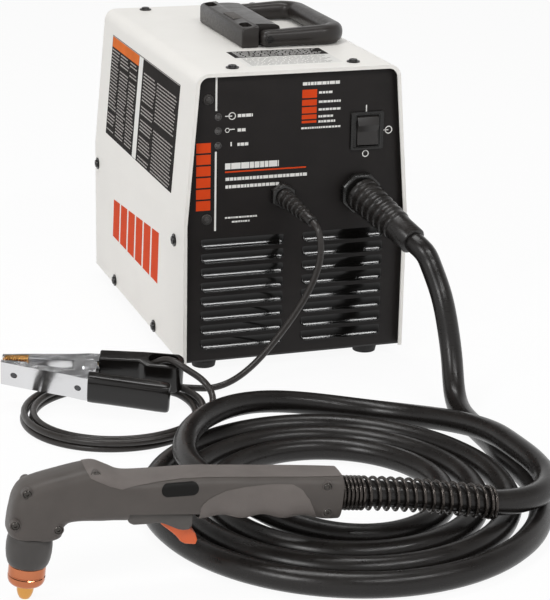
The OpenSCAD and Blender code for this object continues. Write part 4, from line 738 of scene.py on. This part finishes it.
# %% [markdown]
# ## Ribbed boots
# A boot keeps a cable from bending sharply where it leaves the panel. Both are moulded
# rubber with ribs that shrink toward the tip. The ribs are rounded steps on a lathe
# profile, and the boot leans the way the cable pulls it.

# %% Boots
def ribbed_profile(root, tip, length, ribs, reach):
    step = length * reach / ribs
    rib = 0.9
    profile = [(root - 2, 0.4), (root, 0.4)]
    for i in range(ribs):
        z = i * step
        r = root + (tip - root) * z / length
        profile += [(r - 0.35, z + step * 0.12), (r, z + step * 0.2), (r, z + step * 0.56),
                    (r - 0.35, z + step * 0.64), (r - rib, z + step * 0.72),
                    (r - rib, z + step * 0.95)]
    profile[2:4] = []  # the first rib rises straight from the root
    end = length * reach
    return profile + [(tip, end + step * 0.3), (tip, length - 1), (tip - 0.4, length - 0.3),
                      (tip - 1, length)]


def boot_matrix(x, z, way):
    tilt = math.degrees(math.acos(-way[1]))
    spin = math.degrees(math.atan2(way[2], way[0]))
    return CASE @ shift(x, -1, z) @ turn("X", 90) @ turn("Z", spin) @ turn("Y", tilt)


work_ribs = ribbed_profile(8, 4.7, WORK_BOOT_L, 6, 0.8)
torch_ribs = ribbed_profile(15.5, 12, TORCH_BOOT_L, 7, 0.72)
add_piece("work_lead_boot", lathe(work_ribs, 40), boot_matrix(-12.5, 143, WORK_WAY),
          "boot_rubber", stands_for="work_strain_relief")
add_piece("torch_cable_boot", lathe(torch_ribs, 56), boot_matrix(57, 141, TORCH_WAY),
          "boot_rubber", stands_for="torch_strain_relief")
print("rings on the boots:", len(work_ribs), len(torch_ribs))

# %% [markdown]
# ## Torch handle
# The handle is moulded in two halves that meet on its middle plane. Its section is a
# rounded oblong that grows over the bend and waists in at the grip, so it is a loft
# through stations, each given by its outer and inner edge and its half width. Between the
# stations the curve is smooth. A slot for the trigger is cut underneath with a boolean.

# %% Torch handle
STATIONS = [(-13.5, 46.5, 15.5, 45.5, 14.0), (-16, 49, 19.5, 48, 16.0), (-16, 57, 20, 53, 16.5),
            (-15.3, 64, 22, 56, 16.5), (-13.8, 73, 25, 57.5, 16.5), (-9.5, 80.5, 31, 58, 16.5),
            (-1, 84.8, 38, 58, 16.5), (12, 89, 45, 57.8, 16.5), (26, 93, 52, 58, 16.5),
            (37, 94.9, 60, 58, 16.5), (47, 91.5, 66, 58.3, 16.5), (57, 88, 75, 58.6, 16.5),
            (76, 88.6, 86, 59, 16.5), (95, 90.2, 100, 59.2, 16.5), (110, 90.9, 112, 60, 16.5),
            (125, 91, 125, 62.4, 15.9), (139, 91, 139, 60, 16.5), (153, 91, 153, 62.6, 15.9),
            (167, 91, 167, 59.8, 16.5), (181, 91, 181, 61.8, 15.9), (195, 90.8, 195, 59, 16.5),
            (207, 90.7, 207, 59, 15.8)]
ROUNDED = 0.6
RING_STEP = 7.5


def pressed(value, power):
    return math.copysign(abs(value) ** power, value)


def ring_point(s, angle, lift=0.0):
    out, inn = np.array((s[0], 0, s[1])), np.array((s[2], 0, s[3]))
    mid, half = (out + inn) / 2, (out - inn) / 2
    half = half * (1 + lift / np.linalg.norm(half))
    up, across = math.sin(math.radians(angle)), math.cos(math.radians(angle))
    return (mid + half * pressed(up, ROUNDED)
            - np.array((0, (s[4] + lift) * pressed(across, ROUNDED), 0)))


def cut(obj, shape, place):
    verts, faces = shape
    mesh = bpy.data.meshes.new("cutter")
    mesh.from_pydata(placed(place, verts), [], faces)
    cutter = put("cutter", mesh)
    bpy.context.view_layer.update()
    tool = obj.modifiers.new("cut", "BOOLEAN")
    tool.operation = "DIFFERENCE"
    tool.solver = "EXACT"
    tool.object = cutter
    shown = obj.evaluated_get(bpy.context.evaluated_depsgraph_get())
    mesh = bpy.data.meshes.new_from_object(shown)
    obj.modifiers.remove(tool)
    obj.data = mesh
    bpy.data.objects.remove(cutter)
    mesh.set_sharp_from_angle(angle=math.radians(40))


def box_between(low, high):
    return slab([(low[0], low[1]), (high[0], low[1]), (high[0], high[1]), (low[0], high[1])],
                low[2], high[2])


handle_rings = [[ring_point(s, RING_STEP * k) for k in range(int(360 / RING_STEP))]
                for s in smooth_route(STATIONS, 4)]
handle = add_piece("torch_handle", loft(handle_rings), TORCH, "torch_plastic", bevel=0.8,
                   segments=3, angle=60, stands_for="torch_handle_left torch_handle_right")
cut(handle, box_between((61, -20, 40), (110, 20, 65.5)), TORCH)
cut(handle, lathe([(15.2, 30), (15.2, 53)], 48), TORCH)
cut(handle, lathe([(10, 0), (10, 14)], 32), TORCH @ shift(199, 0, TAIL_Z) @ turn("Y", 90))
print("faces on the torch handle:", len(handle.data.polygons))

# %% [markdown]
# ## Soft panels and plate on the handle
# Two panels of a softer plastic are moulded over the handle: one runs along the top from
# the bend to the cable, one wraps the grip. Each is a raised skin a third of a millimetre
# thick. Its rows follow the rings of the handle, and each row reaches only as far round as
# the panel's edge line allows. The small plate between them is draped on the handle by
# casting rays at it, so that it follows the curve.

# %% Soft panels
TOP_EDGE = [(28.5, 99), (29.5, 93), (33, 90), (38, 88.3), (46, 85.2), (54, 83.2), (62, 84.6),
            (78, 87), (95, 89.0), (112, 89.8), (207, 90.1)]
GRIP_EDGE = [(105.6, 60), (106.2, 66), (109.5, 73), (115, 78), (124, 82), (137, 84.8), (155, 86.4),
             (170, 86.4), (177, 83), (184, 74), (190, 62.5), (193, 56)]
SKIN = 0.35


def reach_round(s, pole, inside):
    reach = 0.0
    while reach < 150 and inside(ring_point(s, pole + math.copysign(reach, 180 - abs(pole)))):
        reach += 0.5
    return reach


def soft_panel(name, x_range, pole, inside):
    rings = []
    for s in smooth_route(STATIONS, 8):
        reach = reach_round(s, pole, inside) if x_range[0] <= s[0] <= x_range[1] else 0
        if reach > 1:
            angles = np.linspace(pole - reach, pole + reach, 33)
            rings.append([ring_point(s, a, SKIN) for a in angles]
                         + [ring_point(s, a, -SKIN) for a in reversed(angles)])
    return add_piece(name, loft(rings), TORCH, "torch_overlay", smooth=50)


def over_edge(edge, side):
    xs, zs = zip(*edge)
    return lambda p: side * (p[2] - np.interp(p[0], xs, zs)) > 0


soft_panel("soft_top_panel", (29, 206.4), 90, over_edge(TOP_EDGE, 1))
soft_panel("soft_grip_panel", (106, 192.5), -90, over_edge(GRIP_EDGE, -1))


# %% Plate draped on the side of the handle
def side_tree(obj, place):
    mesh = obj.data.copy()
    mesh.transform(place.inverted())
    return BVHTree.FromPolygons([v.co for v in mesh.vertices],
                                [tuple(p.vertices) for p in mesh.polygons])


def stadium(length, width, steps=12):
    r, reach = width / 2, (length - width) / 2
    return [(s * reach + s * r * math.cos(a), s * r * math.sin(a)) for s in (1, -1)
            for a in np.linspace(-math.pi / 2, math.pi / 2, steps)]


def side_plate(name, centre, tilt, length, width):
    tree = side_tree(handle, TORCH)
    c, s = math.cos(math.radians(tilt)), math.sin(math.radians(tilt))
    rings = []
    for scale, lift in ((0.03, 0.5), (0.35, 0.5), (0.7, 0.5), (0.94, 0.5), (1.0, 0.35),
                        (1.0, -0.5)):
        ring = []
        for u, v in stadium(length, width):
            x = centre[0] + scale * (u * c - v * s)
            z = centre[1] + scale * (u * s + v * c)
            hit = tree.ray_cast(Vector((x, -60, z)), Vector((0, 1, 0)))
            ring.append(hit[0] + lift * hit[1])
        rings.append(ring)
    return add_piece(name, loft(rings), TORCH, "label_black", smooth=50)


side_plate("torch_side_plate", (93, 83), 4.7, 25, 8.4)

# %% [markdown]
# ## Trigger and its lock
# The trigger is a grey moulding with a slot, and the orange lock swings in that slot. A
# finger must lift the lock before it can press the trigger. Both are slabs across the
# handle with rounded edges, each riding on its own body.

# %% Trigger and lock
TRIGGER_SIDE = [(61.6, 71.2), (60.6, 64), (60.9, 59.9), (62, 58), (65.1, 56.7), (72.6, 57.2),
                (80, 58.2), (84, 57.9), (88, 56.6), (95.6, 53.4), (99, 52.9), (103.4, 53.4),
                (105, 57.1), (104.8, 64.3), (72, 64.8), (69.5, 71.2)]
LOCK_SIDE = [(84.9, 56.2), (85.6, 53.9), (89.5, 51), (94, 47.8), (97.6, 44.6), (100.6, 41.2),
             (103.6, 39.6), (111.2, 39.2), (111.9, 42.6), (110.2, 47.2), (106.6, 50.2),
             (100, 53.4), (92, 57.2), (87.4, 58.2)]
ACROSS = turn("X", 90)
trigger = add_piece("trigger_moulding", slab(TRIGGER_SIDE, -13, 13), TORCH @ ACROSS,
                    "trigger_plastic", "trigger", bevel=1.5, segments=3, angle=20,
                    stands_for="trigger")
cut(trigger, box_between((84.4, -5.3, 40), (112, 5.3, 58.8)), TORCH)
add_piece("trigger_lock_tongue", slab(LOCK_SIDE, -5, 5), TORCH @ ACROSS, "lock_plastic",
          "trigger_lock", bevel=0.9, segments=3, angle=20, stands_for="trigger_lock")

# %% [markdown]
# ## Sleeves of the work clamp
# The two handles of the clamp are dipped in thick glossy vinyl, so their edges are round.
# The near sleeve is a loft through rounded rings. The far one is a bevelled slab, because
# it ends in a flat ring for a finger, with a hole where the lead goes in. The room for the
# steel channel is cut out of both.

# %% Clamp sleeves
def tang_outer(x):
    return 17 + x * 4.9 / 66


def tang_inner(x):
    return 8 + x * 4.6 / 66


def channel_room(x, half_width, play=0.3):
    return slab([(-1, tang_outer(-1) + play), (x + play, tang_outer(x) + play),
                 (x + play, -20), (-1, -20)], -half_width, half_width)


def sleeve_ring(x, low, high, half):
    middle, reach = (high + low) / 2, (high - low) / 2
    return [(x, middle + u, v) for u, v in oblong(reach, half, min(4.8, reach - 0.1), 9, 9)]


SLEEVE_HALF = 13.4
SLEEVE_WALL = 1.5
FINGER_X, FINGER_Y = 62.5, 14.2
NEAR_RINGS = ((4, -1.2), (4.4, 0), (8, 0.15), (20, 0), (45, 0), (60, 0.1), (68, 0),
              (70, -0.5), (71, -1.8))


def near_sleeve():
    rings = [sleeve_ring(x, tang_inner(x) - SLEEVE_WALL - grow, tang_outer(x) + 2.8 + grow,
                         SLEEVE_HALF + grow) for x, grow in NEAR_RINGS]
    obj = add_piece("near_clamp_sleeve", loft(rings), CLAMP, "clamp_vinyl", "clamp_near",
                    smooth=50, stands_for="clamp_near_grip")
    cut(obj, channel_room(66, 11.8), CLAMP)
    # drawn on the far side, like the far sleeve, and mirrored across the clamp's middle
    obj.data.transform(CLAMP @ Matrix.Scale(-1, 4, (0, 1, 0)) @ CLAMP.inverted())
    obj.data.flip_normals()
    return obj


def far_sleeve():
    top, low = tang_outer(47) + 1.9, tang_inner(43) - SLEEVE_WALL
    outline = [(10, tang_outer(10) + 1.9), (47, top), (74, top + 0.6), (78, top - 2.5),
               (79, top - 6), (79, 10.2), (77, 6.2), (73, 4.2), (51, 4.2), (47, 5.6), (43, low),
               (10, tang_inner(10) - SLEEVE_WALL)]
    obj = add_piece("far_clamp_sleeve", slab(outline, -SLEEVE_HALF, SLEEVE_HALF), CLAMP,
                    "clamp_vinyl", bevel=1.5, segments=4, angle=25, stands_for="clamp_far_grip")
    cut(obj, channel_room(47, 10.3), CLAMP)
    hole = [(FINGER_X + x, FINGER_Y + y) for x, y in stadium(25, 13, 16)]
    cut(obj, slab(hole, -30, 30), CLAMP)
    cut(obj, lathe([(4.25, 0), (4.25, 6)], 24), CLAMP @ shift(46, FINGER_Y, 5.6) @ turn("Y", 90))
    return obj


near_grip, far_grip = near_sleeve(), far_sleeve()
print("clamp sleeves:", len(near_grip.data.polygons), len(far_grip.data.polygons))

# %% [markdown]
# ## Carrying loop
# The loop that lifts the unit is a thick moulded bar, nearly round. It folds flat when it
# is not in use. The bar is a tube whose section is pressed a little toward a square, swept
# round the bends, with its two ends rounded off over the pins.

# %% Carrying loop
HANDLE = CASE @ shift(0, 158, CASE_TOP)
LOOP_PIN = shift(3, 0, 7.5)


def bar(path, half_at, power, ends, sides=32):
    path = np.array(path, float)
    ways = np.gradient(path, axis=0)
    rings = []
    for i, (p, w) in enumerate(zip(path, ways)):
        near_end = min(i, len(path) - 1 - i)
        half = half_at(p[0])
        size = half * (ends[near_end] if near_end < len(ends) else 1)
        side, middle = unit(np.cross(w, (0, 0, 1))), p + np.array((0, 0, half - 7))
        rings.append([middle + size * (pressed(math.cos(a), power) * side
                                       + np.array((0, 0, pressed(math.sin(a), power))))
                      for a in np.linspace(0, 2 * math.pi, sides, endpoint=False)])
    return loft(rings)


def loop_path():
    half = [(x, 61, 0) for x in (-6.9, -6.2, -4.8, -2.6, 0, 10, 20, 30, 40)]
    half += [(49.5 + 16 * math.sin(a), 45 + 16 * math.cos(a), 0)
             for a in np.linspace(0, math.pi / 2, 15)]
    half += [(65.5, y, 0) for y in (30, 15)]
    return half + [(65.5, 0, 0)] + [(x, -y, z) for x, y, z in reversed(half)]


def half_thickness(x):
    return 7.2 + 1.2 * min(max((x - 8) / 45, 0), 1)


loop_bar = bar(loop_path(), half_thickness, 0.82, (0.3, 0.62, 0.85, 0.97))
carry_loop = add_piece("carrying_loop", loop_bar, HANDLE @ LOOP_PIN, "handle_plastic",
                       "handle_loop", smooth=60, stands_for="handle_loop")
PAD = [(-16.5, -25), (-6.5, -22), (-6.5, 8), (-16.5, 6)]
add_piece("handle_base_pad", slab(PAD, 17.6, 18.95), HANDLE, "pad_grey", bevel=0.25)
PIN = [(2.4, 52), (2.4, 66), (3.4, 66.4), (3.4, 68.4), (2.9, 68.9), (0.01, 69)]
pin_places = [LOOP_PIN @ turn("X", -90 * side) for side in (-1, 1)]
pins = add_piece("loop_pins", copies(lathe(PIN, 28), pin_places), HANDLE, "screw_black", smooth=35,
                 stands_for="handle_pins")
print("carrying loop and pins:", len(carry_loop.data.polygons), len(pins.data.polygons))

# %% [markdown]
# ## Louvred front
# The front is one sheet of glossy plastic with two columns of louvres. Air is drawn in
# under their hoods. Each hood swells out from nothing at its top to a rounded lip, and its
# ends run down in a quarter round, which is where the bright points of light sit. A hood is
# a grid over its width and height, pushed out by the product of an end curve and a height
# curve. The flat sheet behind them has the switch opening cut through it.

# %% Outline of the case's front
def case_outline(inset, bottom):
    lean = math.atan(SLOPE_X / SLOPE_Z)
    half, r = CASE_HALF - inset, max(11 - inset, 1)
    z = CASE_TOP - inset - r
    x = half - (z - SHOULDER) * math.tan(lean) - r / math.cos(lean)
    arc = [(x + r * math.cos(a), z + r * math.sin(a)) for a in np.linspace(lean, math.pi / 2, 12)]
    right = [(half, bottom), (half, SHOULDER)] + arc
    return right + [(-px, pz) for px, pz in reversed(right)]


# %% Hoods
LOUVRE_ROWS = 8
LOUVRE_PITCH = 12.7
LIP_FROM, LIP_DOWN = 0.8, 0.93
SWITCH_X, SWITCH_Z = 62.2, 194.6


def hood_grid(columns=44, rows=14):
    width, height, out, r = 73.5, 10.4, 4.5, 5.0
    verts = []
    for i in range(columns + 1):
        x = width * (0.5 - 0.5 * math.cos(math.pi * i / columns))
        near = min(x, width - x, r) / r
        end = math.sqrt(max(0, 1 - (1 - near) ** 2))
        low = height - (1 - end) * r * 0.75
        for k in range(rows + 1):
            t = k / rows
            if t < LIP_FROM:
                q = t / LIP_FROM
                down, bulge = low * q * LIP_DOWN, 0.85 * q ** 1.9 + 0.15 * q
            else:
                a = (t - LIP_FROM) / (1 - LIP_FROM) * math.pi / 2
                down = low * (LIP_DOWN + (1 - LIP_DOWN) * math.sin(a))
                bulge = 0.5 + 0.5 * math.cos(a)
            verts.append((x - width / 2, 0.3 - (out + 0.3) * bulge * (0.12 + 0.88 * end), -down))
        verts.append((x - width / 2, 0.6, -low * 0.86))
    step = rows + 2
    faces = [(i * step + k, (i + 1) * step + k, (i + 1) * step + k + 1, i * step + k + 1)
             for i in range(columns) for k in range(step - 1)]
    return verts, faces


sheet = add_piece("front_sheet", slab(case_outline(1.5, 1.2), -7, -5), CASE @ turn("X", 90),
                  "panel_plastic", bevel=0.5, stands_for="front_panel")
cut(sheet, box_between((SWITCH_X - 12.3, 0, SWITCH_Z - 13.95),
                       (SWITCH_X + 12.3, 20, SWITCH_Z + 13.95)), CASE)
hood_places = [shift(x, PANEL_Y, 110.6 - LOUVRE_PITCH * row)
               for x in (-46.8, 43.5) for row in range(LOUVRE_ROWS)]
hoods = add_piece("louvre_hoods", copies(hood_grid(), hood_places), CASE, "hood_gloss", smooth=60)
print("louvres:", len(hood_places), "faces:", len(hoods.data.polygons))

# %% [markdown]
# ## Power switch
# The switch snaps into the front from outside. Its frame slopes inward on all four sides,
# and the slope at the top catches the light. The rocker is a shallow V that tips on a pin.

# %% Switch frame and rocker
SWITCH = CASE @ shift(SWITCH_X, PANEL_Y, SWITCH_Z)


def frame_ring(width, height, y, r=1.2):
    return [(u, y, v) for u, v in oblong(width / 2, height / 2, r, 4)]


def switch_frame():
    rings = [frame_ring(*q) for q in ((29.3, 32.6, 0.0), (29.3, 32.6, -0.5), (28.9, 32.2, -0.8),
                                      (23.4, 28.2, -2.5), (22.2, 27.9, -2.5, 0.8),
                                      (20.6, 27.3, -1.2, 0.5), (20.0, 27.0, 9.5, 0.5))]
    verts, faces = loft(rings, caps=False)
    last = len(verts) - len(rings[0])
    faces.append(tuple(range(last, len(verts))))
    return verts, faces


add_piece("switch_frame", switch_frame(), SWITCH, "switch_plastic", smooth=30)
ROCKER_SIDE = [(3.5, -12.5), (3.5, 12.5), (0, 13), (-2.6, 12.5), (-6.3, 6.2), (-4, 0),
               (-6.58, -11.2), (-3.5, -12.5), (0, -13)]
ALONG_AXLE = Matrix(((0, 0, 1, 0), (1, 0, 0, 0), (0, 1, 0, 0), (0, 0, 0, 1)))
ROCKER = SWITCH @ shift(0, 1, 0) @ turn("X", 7)
add_piece("rocker_cap", slab(ROCKER_SIDE, -9.5, 9.5), ROCKER @ ALONG_AXLE, "rocker_plastic",
          "switch_rocker", bevel=0.7, segments=3, angle=20, stands_for="switch_rocker")

# %% [markdown]
# ## Gland nuts, torch screws, cup and clamp plates
# Small bright or faceted details tell the eye what a thing is made of. Each gland is held
# by a nut with flats and chamfered corners. The torch is held by screws that sit in round
# bosses. The cup is a barrel of heat-proof plastic, its copper ring has a groove, and the
# worn brass tip looks out of it. The jaws of the clamp bite with brass teeth, and dark
# rivets hold them.

# %% Nuts
def nut(name, centre, size, depth, flats, stands_for):
    half = size / 2 / math.cos(math.pi / flats)
    rings = [circle(half * share, y, flats, 0.5) for share, y in (
        (0.98, 0), (1, 0.4), (1, depth - 1.4), (0.9, depth), (0.55, depth), (0.55, depth - 2))]
    place = CASE @ shift(centre[0], PANEL_Y, centre[1]) @ turn("X", 90)
    add_piece(name, loft(rings), place, "gland_gloss", bevel=0.35, angle=20, stands_for=stands_for)


nut("torch_gland_collar", (57.5, 141), 34, 7.4, 8, "torch_gland_nut")
nut("work_gland_collar", (-12.5, 143), 20, 7.4, 6, "work_gland_nut")

# %% Screws of the torch, in bosses
SCREWS = [(-7.2, 78.9, 14.2), (36.5, 91, 12.8), (14.8, 54.9, 16), (-13.4, 57.8, 15.8),
          (194.5, 85, 16), (196.5, 66.8, 16.5)]


def beside(x, z, end, side):
    if side > 0:
        x, z, end = x + 0.13 * (20 - x) * (x < 100), z - 0.13 * (z - 68), min(end + 1, 16)
    return shift(x, side * end, z) @ turn("X", -90 * side)


BOSS = [(3.7, -4), (3.7, -0.3), (3.4, 0), (2.9, 0), (2.75, -0.9), (0.01, -0.9)]
HEAD = [(2.5, -1.2), (2.5, -0.2), (2.25, 0.05), (1.3, 0.05), (1.25, -0.8), (0.01, -0.8)]
screw_places = [beside(*screw, side) for screw in SCREWS for side in (-1, 1)]
add_piece("torch_screw_bosses", copies(lathe(BOSS, 26), screw_places), TORCH, "torch_plastic",
          smooth=35)
add_piece("torch_screw_heads", copies(lathe(HEAD, 26), screw_places), TORCH, "socket_steel",
          smooth=35, stands_for="torch_screws")
print("torch screws:", len(screw_places))

# %% Cup, copper ring and tip
CUP = [(11.4, 47.2), (13.2, 47.2), (13.9, 46.4), (14.8, 43), (15.2, 39), (15.1, 34), (14.5, 29.5),
       (13.5, 26.3), (12.7, 24.9), (12.2, 24.6), (11.4, 24.6)]
COPPER = [(9.2, 24.7), (11.9, 24.7), (12.3, 24.2), (12.3, 18.2), (11.9, 17.7), (11.9, 17.2),
          (12.35, 16.7), (12.3, 14.4), (11.6, 12.4), (10.6, 11.3), (9.4, 10.8), (6.9, 10.8),
          (6.6, 11.4), (6.6, 15)]
TIP = [(0.6, 2.2), (0.6, 0.3), (1.1, 0), (2.7, 0), (3.5, 0.5), (4.6, 2.4), (5.4, 5), (5.7, 7.6),
       (5.8, 13)]
cup = add_piece("heat_cup", lathe(CUP, 72), TORCH, "cup_plastic", "cup", smooth=35,
                stands_for="retaining_cup")
ring = add_piece("copper_ring", lathe(COPPER, 72), TORCH, "torch_copper", "cup", smooth=35,
                 stands_for="cup_shield")
add_piece("brass_tip", lathe(TIP, 56), TORCH, "tip_brass", smooth=40, stands_for="cutting_tip")
print("cup faces:", len(cup.data.polygons) + len(ring.data.polygons))

# %% Teeth and rivets of the clamp
TEETH = 9


def toothed_plate(name, side, body, stands_for):
    edge = []
    for k in range(TEETH):
        x = -66 + 19 * k / TEETH
        edge += [(x, 1.5 + 0.5 * k / TEETH), (x + 19 / TEETH / 2, 0.15)]
    outline = edge + [(-47, 2), (-47, 8.2), (-66, 4.9)]
    outline = [(x, side * y) for x, y in outline][::side]
    return add_piece(name, slab(outline, -10.1, 10.1), CLAMP, "tip_brass", body, bevel=0.2,
                     segments=1, angle=40, stands_for=stands_for)


far_teeth = toothed_plate("brass_teeth_far", 1, "unit", "clamp_teeth_far")
near_teeth = toothed_plate("brass_teeth_near", -1, "clamp_near", "clamp_teeth_near")


def rivets(name, side, body):
    head = lathe([(2.7, -1.6), (2.7, -0.5), (2.3, 0.1), (1.2, 0.3), (0.01, 0.3)], 24)
    places = [shift(x, side * edge, 0) @ turn("X", -90 * side)
              for x, edge in ((-57, 7.7), (-4, 16.1))]
    return add_piece(name, copies(head, places), CLAMP, "rivet_grey", body)


jaw_rivets = [rivets("rivets_far", 1, "unit"), rivets("rivets_near", -1, "clamp_near")]

# %% [markdown]
# ## Handle base
# The block that carries the loop is a moulded bar with a crowned top, soft edges and two
# screw pockets. Its ends are narrower, to leave room for the arms of the loop.

# %% Handle base
def base_section(left=-21, width=38, height=19):
    right = left + width
    crown = [(left + width * t, height - 6.6 * (t - 0.5) ** 2)
             for t in np.linspace(0.09, 0.91, 11)]
    return [(left, 0), (left, height - 4.6), (left + 0.9, height - 2.6)] + crown + [
        (right - 0.9, height - 2.6), (right, height - 4.6), (right, 0)]


base = add_piece("handle_base_block", slab(base_section(), -64, 64), HANDLE @ turn("X", 90),
                 "handle_plastic", bevel=1.6, segments=3, angle=50, stands_for="handle_base")
for s in (-1, 1):
    ends = sorted((s * 53.6, s * 70))
    cut(base, box_between((-6, ends[0], -1), (30, ends[1], 30)), HANDLE)
    pocket = [(-14 - y, s * 51.5 + x) for x, y in stadium(19, 8.5)]
    cut(base, slab(pocket, 14.6, 30), HANDLE)
print("handle base faces:", len(base.data.polygons))

# %% [markdown]
# ## Printing
# Colour bars, lines and plain marks are printed on the front, and a plate of small print
# covers the slanted side. Each print is a film of real thickness, so that it keeps its
# crisp edge at every size. All marks here are plain bars, rings and dashes. The rows of
# small print are dashes of random length, drawn from a fixed seed. Two black screws with
# stepped heads stand between the marks, at the left edge of the front.

# %% Bars, rings and rows of dashes
def bar_mark(x0, z0, x1, z1):
    return [(x0, z0), (x1, z0), (x1, z1), (x0, z1)]


def ring_mark(x, z, r, width, steps=20):
    marks = []
    for k in range(steps):
        a, b = (2 * math.pi * (k + i) / steps for i in (0, 1))
        marks.append([(x + q * math.cos(c), z + q * math.sin(c))
                      for q, c in ((r, a), (r, b), (r - width, b), (r - width, a))])
    return marks


def dash_row(x0, x1, z, height, longest=4.0, gap=0.9):
    x, marks = x0, []
    while x < x1 - gap:
        end = min(x + DICE.uniform(0.35, 1) * longest, x1)
        marks.append(bar_mark(x, z - height / 2, end, z + height / 2))
        x = end + gap
    return marks


def film(name, marks, place, low, high, slot_name):
    return add_piece(name, merged([slab(m, low, high) for m in marks]), place, slot_name)


DICE = random.Random(11)

# %% Front screws
KNOB = [(4.6, -0.5), (4.6, 0.7), (4.1, 1.3), (3.2, 1.5), (2.9, 1.1), (2.6, 1.9), (1.9, 2.3),
        (0.01, 2.4)]
knob_places = [shift(x, PANEL_Y, z) @ turn("X", 90)
               for x, z in ((-78.2, 228.3), (-78.8, 126.2))]
add_piece("front_knobs", copies(lathe(KNOB, 32), knob_places), CASE, "knob_plastic", smooth=35,
          stands_for="front_screws")

# %% Front marks
PANEL = GROUND @ shift(0, PANEL_Y, 0) @ turn("X", 90)
white = [bar_mark(-72, 228.6, -70.4, 258), bar_mark(-72, 125.7, -70.4, 194),
         bar_mark(60.9, 220.5, 61.9, 226.6)]
white += ring_mark(61.8, 184.4, 3.0, 0.8) + ring_mark(82.2, 203.9, 3.4, 0.8)
white += [bar_mark(76.4, 203.5, 82, 204.3), bar_mark(-63.4, 223.2, -57.4, 224),
          bar_mark(-58.6, 198, -57.4, 201.6)]
white += ring_mark(-57.4, 223.6, 3.2, 0.7) + ring_mark(-61.4, 211.7, 2.2, 0.6, 6)
white += [bar_mark(-59.4, 211.9, -55, 212.7)]
for x0, x1, z, h in ((-52.5, -39.5, 223.6, 2.6), (-52.5, -45.5, 211.4, 2.6),
                     (-52.5, -43, 199.2, 2.6), (4, 36.7, 247.4, 2.7), (3.4, 38.5, 209.6, 1.6),
                     (18.5, 31, 239.4, 1.9), (18.5, 38.5, 231.5, 1.9), (18.5, 38.5, 224.9, 1.9),
                     (18.5, 31.5, 219.0, 1.9), (18.5, 34.5, 214.6, 1.9), (-63, -15.8, 180.9, 5.2),
                     (-62.5, 9.4, 169.8, 2.7), (-62.5, -14.5, 163.2, 2.7),
                     (-62.6, -34.4, 136.4, 1.4), (-56.5, -40, 132.6, 1.4)):
    white += dash_row(x0, x1, z, h, longest=1.5 * h + 0.6, gap=0.55)
orange = [bar_mark(3.7, z0, 16.7, z1) for z0, z1 in (
    (235.3, 242.4), (228.8, 233.8), (222.2, 227.5), (217.2, 221), (213.9, 215.9))]
orange.append(bar_mark(-63, 175.4, 8.5, 176.6))
orange += [bar_mark(-88, 144 + 9.9 * k, -75.6, 152.4 + 9.9 * k) for k in range(6)]
film("front_print_pale", white, PANEL, -0.02, 0.14, "print_white")
film("front_print_orange", orange, PANEL, -0.02, 0.14, "print_orange")
print("marks on the front:", len(white) + len(orange))

# %% Side plate, side stripes and top plate
LEAN = Vector((SLOPE_X, 0, SLOPE_Z)).normalized()
SIDE = CASE @ shift(-CASE_HALF, 0, SHOULDER) @ Matrix((
    (0, LEAN.x, -LEAN.z, 0), (-1, 0, 0, 0), (0, LEAN.z, LEAN.x, 0), (0, 0, 0, 1)))
film("side_plate", [bar_mark(-270, 18.1, -44, 111.4)], SIDE, -0.02, 0.16, "print_dark")
rows = [bar_mark(-269, 110.4, -45, 111)]
for u0, u1, count in ((-268, -240, 26), (-237, -206, 26), (-203, -177, 26), (-156, -116, 27),
                      (-112, -50, 27)):
    for k in range(count):
        if DICE.random() < 0.93:
            rows += dash_row(u0, u1 - DICE.uniform(0, 6), 98.5 - 3.0 * k, 1.1, 6, 0.9)
film("side_plate_print", rows, SIDE, 0.1, 0.24, "print_soft")
film("side_plate_divider", [bar_mark(-174, 18.6, -161, 110.4)], SIDE, 0.1, 0.25, "print_white")
film("side_plate_header", [bar_mark(-269, 101, -175, 110.4)], SIDE, 0.1, 0.25, "print_amber")


def side_stripes(count=6):
    stripes = []
    for k in range(count):
        ends = []
        for t in (k / count, (k + 0.82) / count):
            ends.append((-239 + 162 * t, 57 + t, 94 + 12 * t))
        (a, a0, a1), (b, b0, b1) = ends
        stripes.append([(a, a0), (b, b0), (b + 5, b1), (a + 5, a1)])
    return stripes


FLANK = GROUND @ shift(-CASE_HALF, 0, 0) @ Matrix((
    (0, 0, -1, 0), (-1, 0, 0, 0), (0, 1, 0, 0), (0, 0, 0, 1)))
film("side_stripes", side_stripes(), FLANK, -0.02, 0.14, "print_orange")
TOP = CASE @ shift(0, 0, CASE_TOP)
film("top_plate_pale", [bar_mark(-39, 19, 45, 56)], TOP, -0.04, 0.12, "print_white")
film("top_plate_dark", [bar_mark(-39, 56, 45, 82)], TOP, -0.04, 0.12, "print_dark")


def small_print(count, first, pitch, height, longest):
    marks = []
    for k in range(count):
        marks += dash_row(-35, 41 - DICE.uniform(0, 9), first - pitch * k, height, longest, 1.2)
    return marks


faint = small_print(8, 52, 4, 1.1, 8)
film("top_plate_small_print", faint, TOP, 0.08, 0.2, "print_grey")
pale = small_print(5, 78.5, 4.6, 1.3, 7)
film("top_plate_pale_print", pale, TOP, 0.08, 0.2, "print_white")
print("rows on the plates:", len(rows) + len(faint) + len(pale))
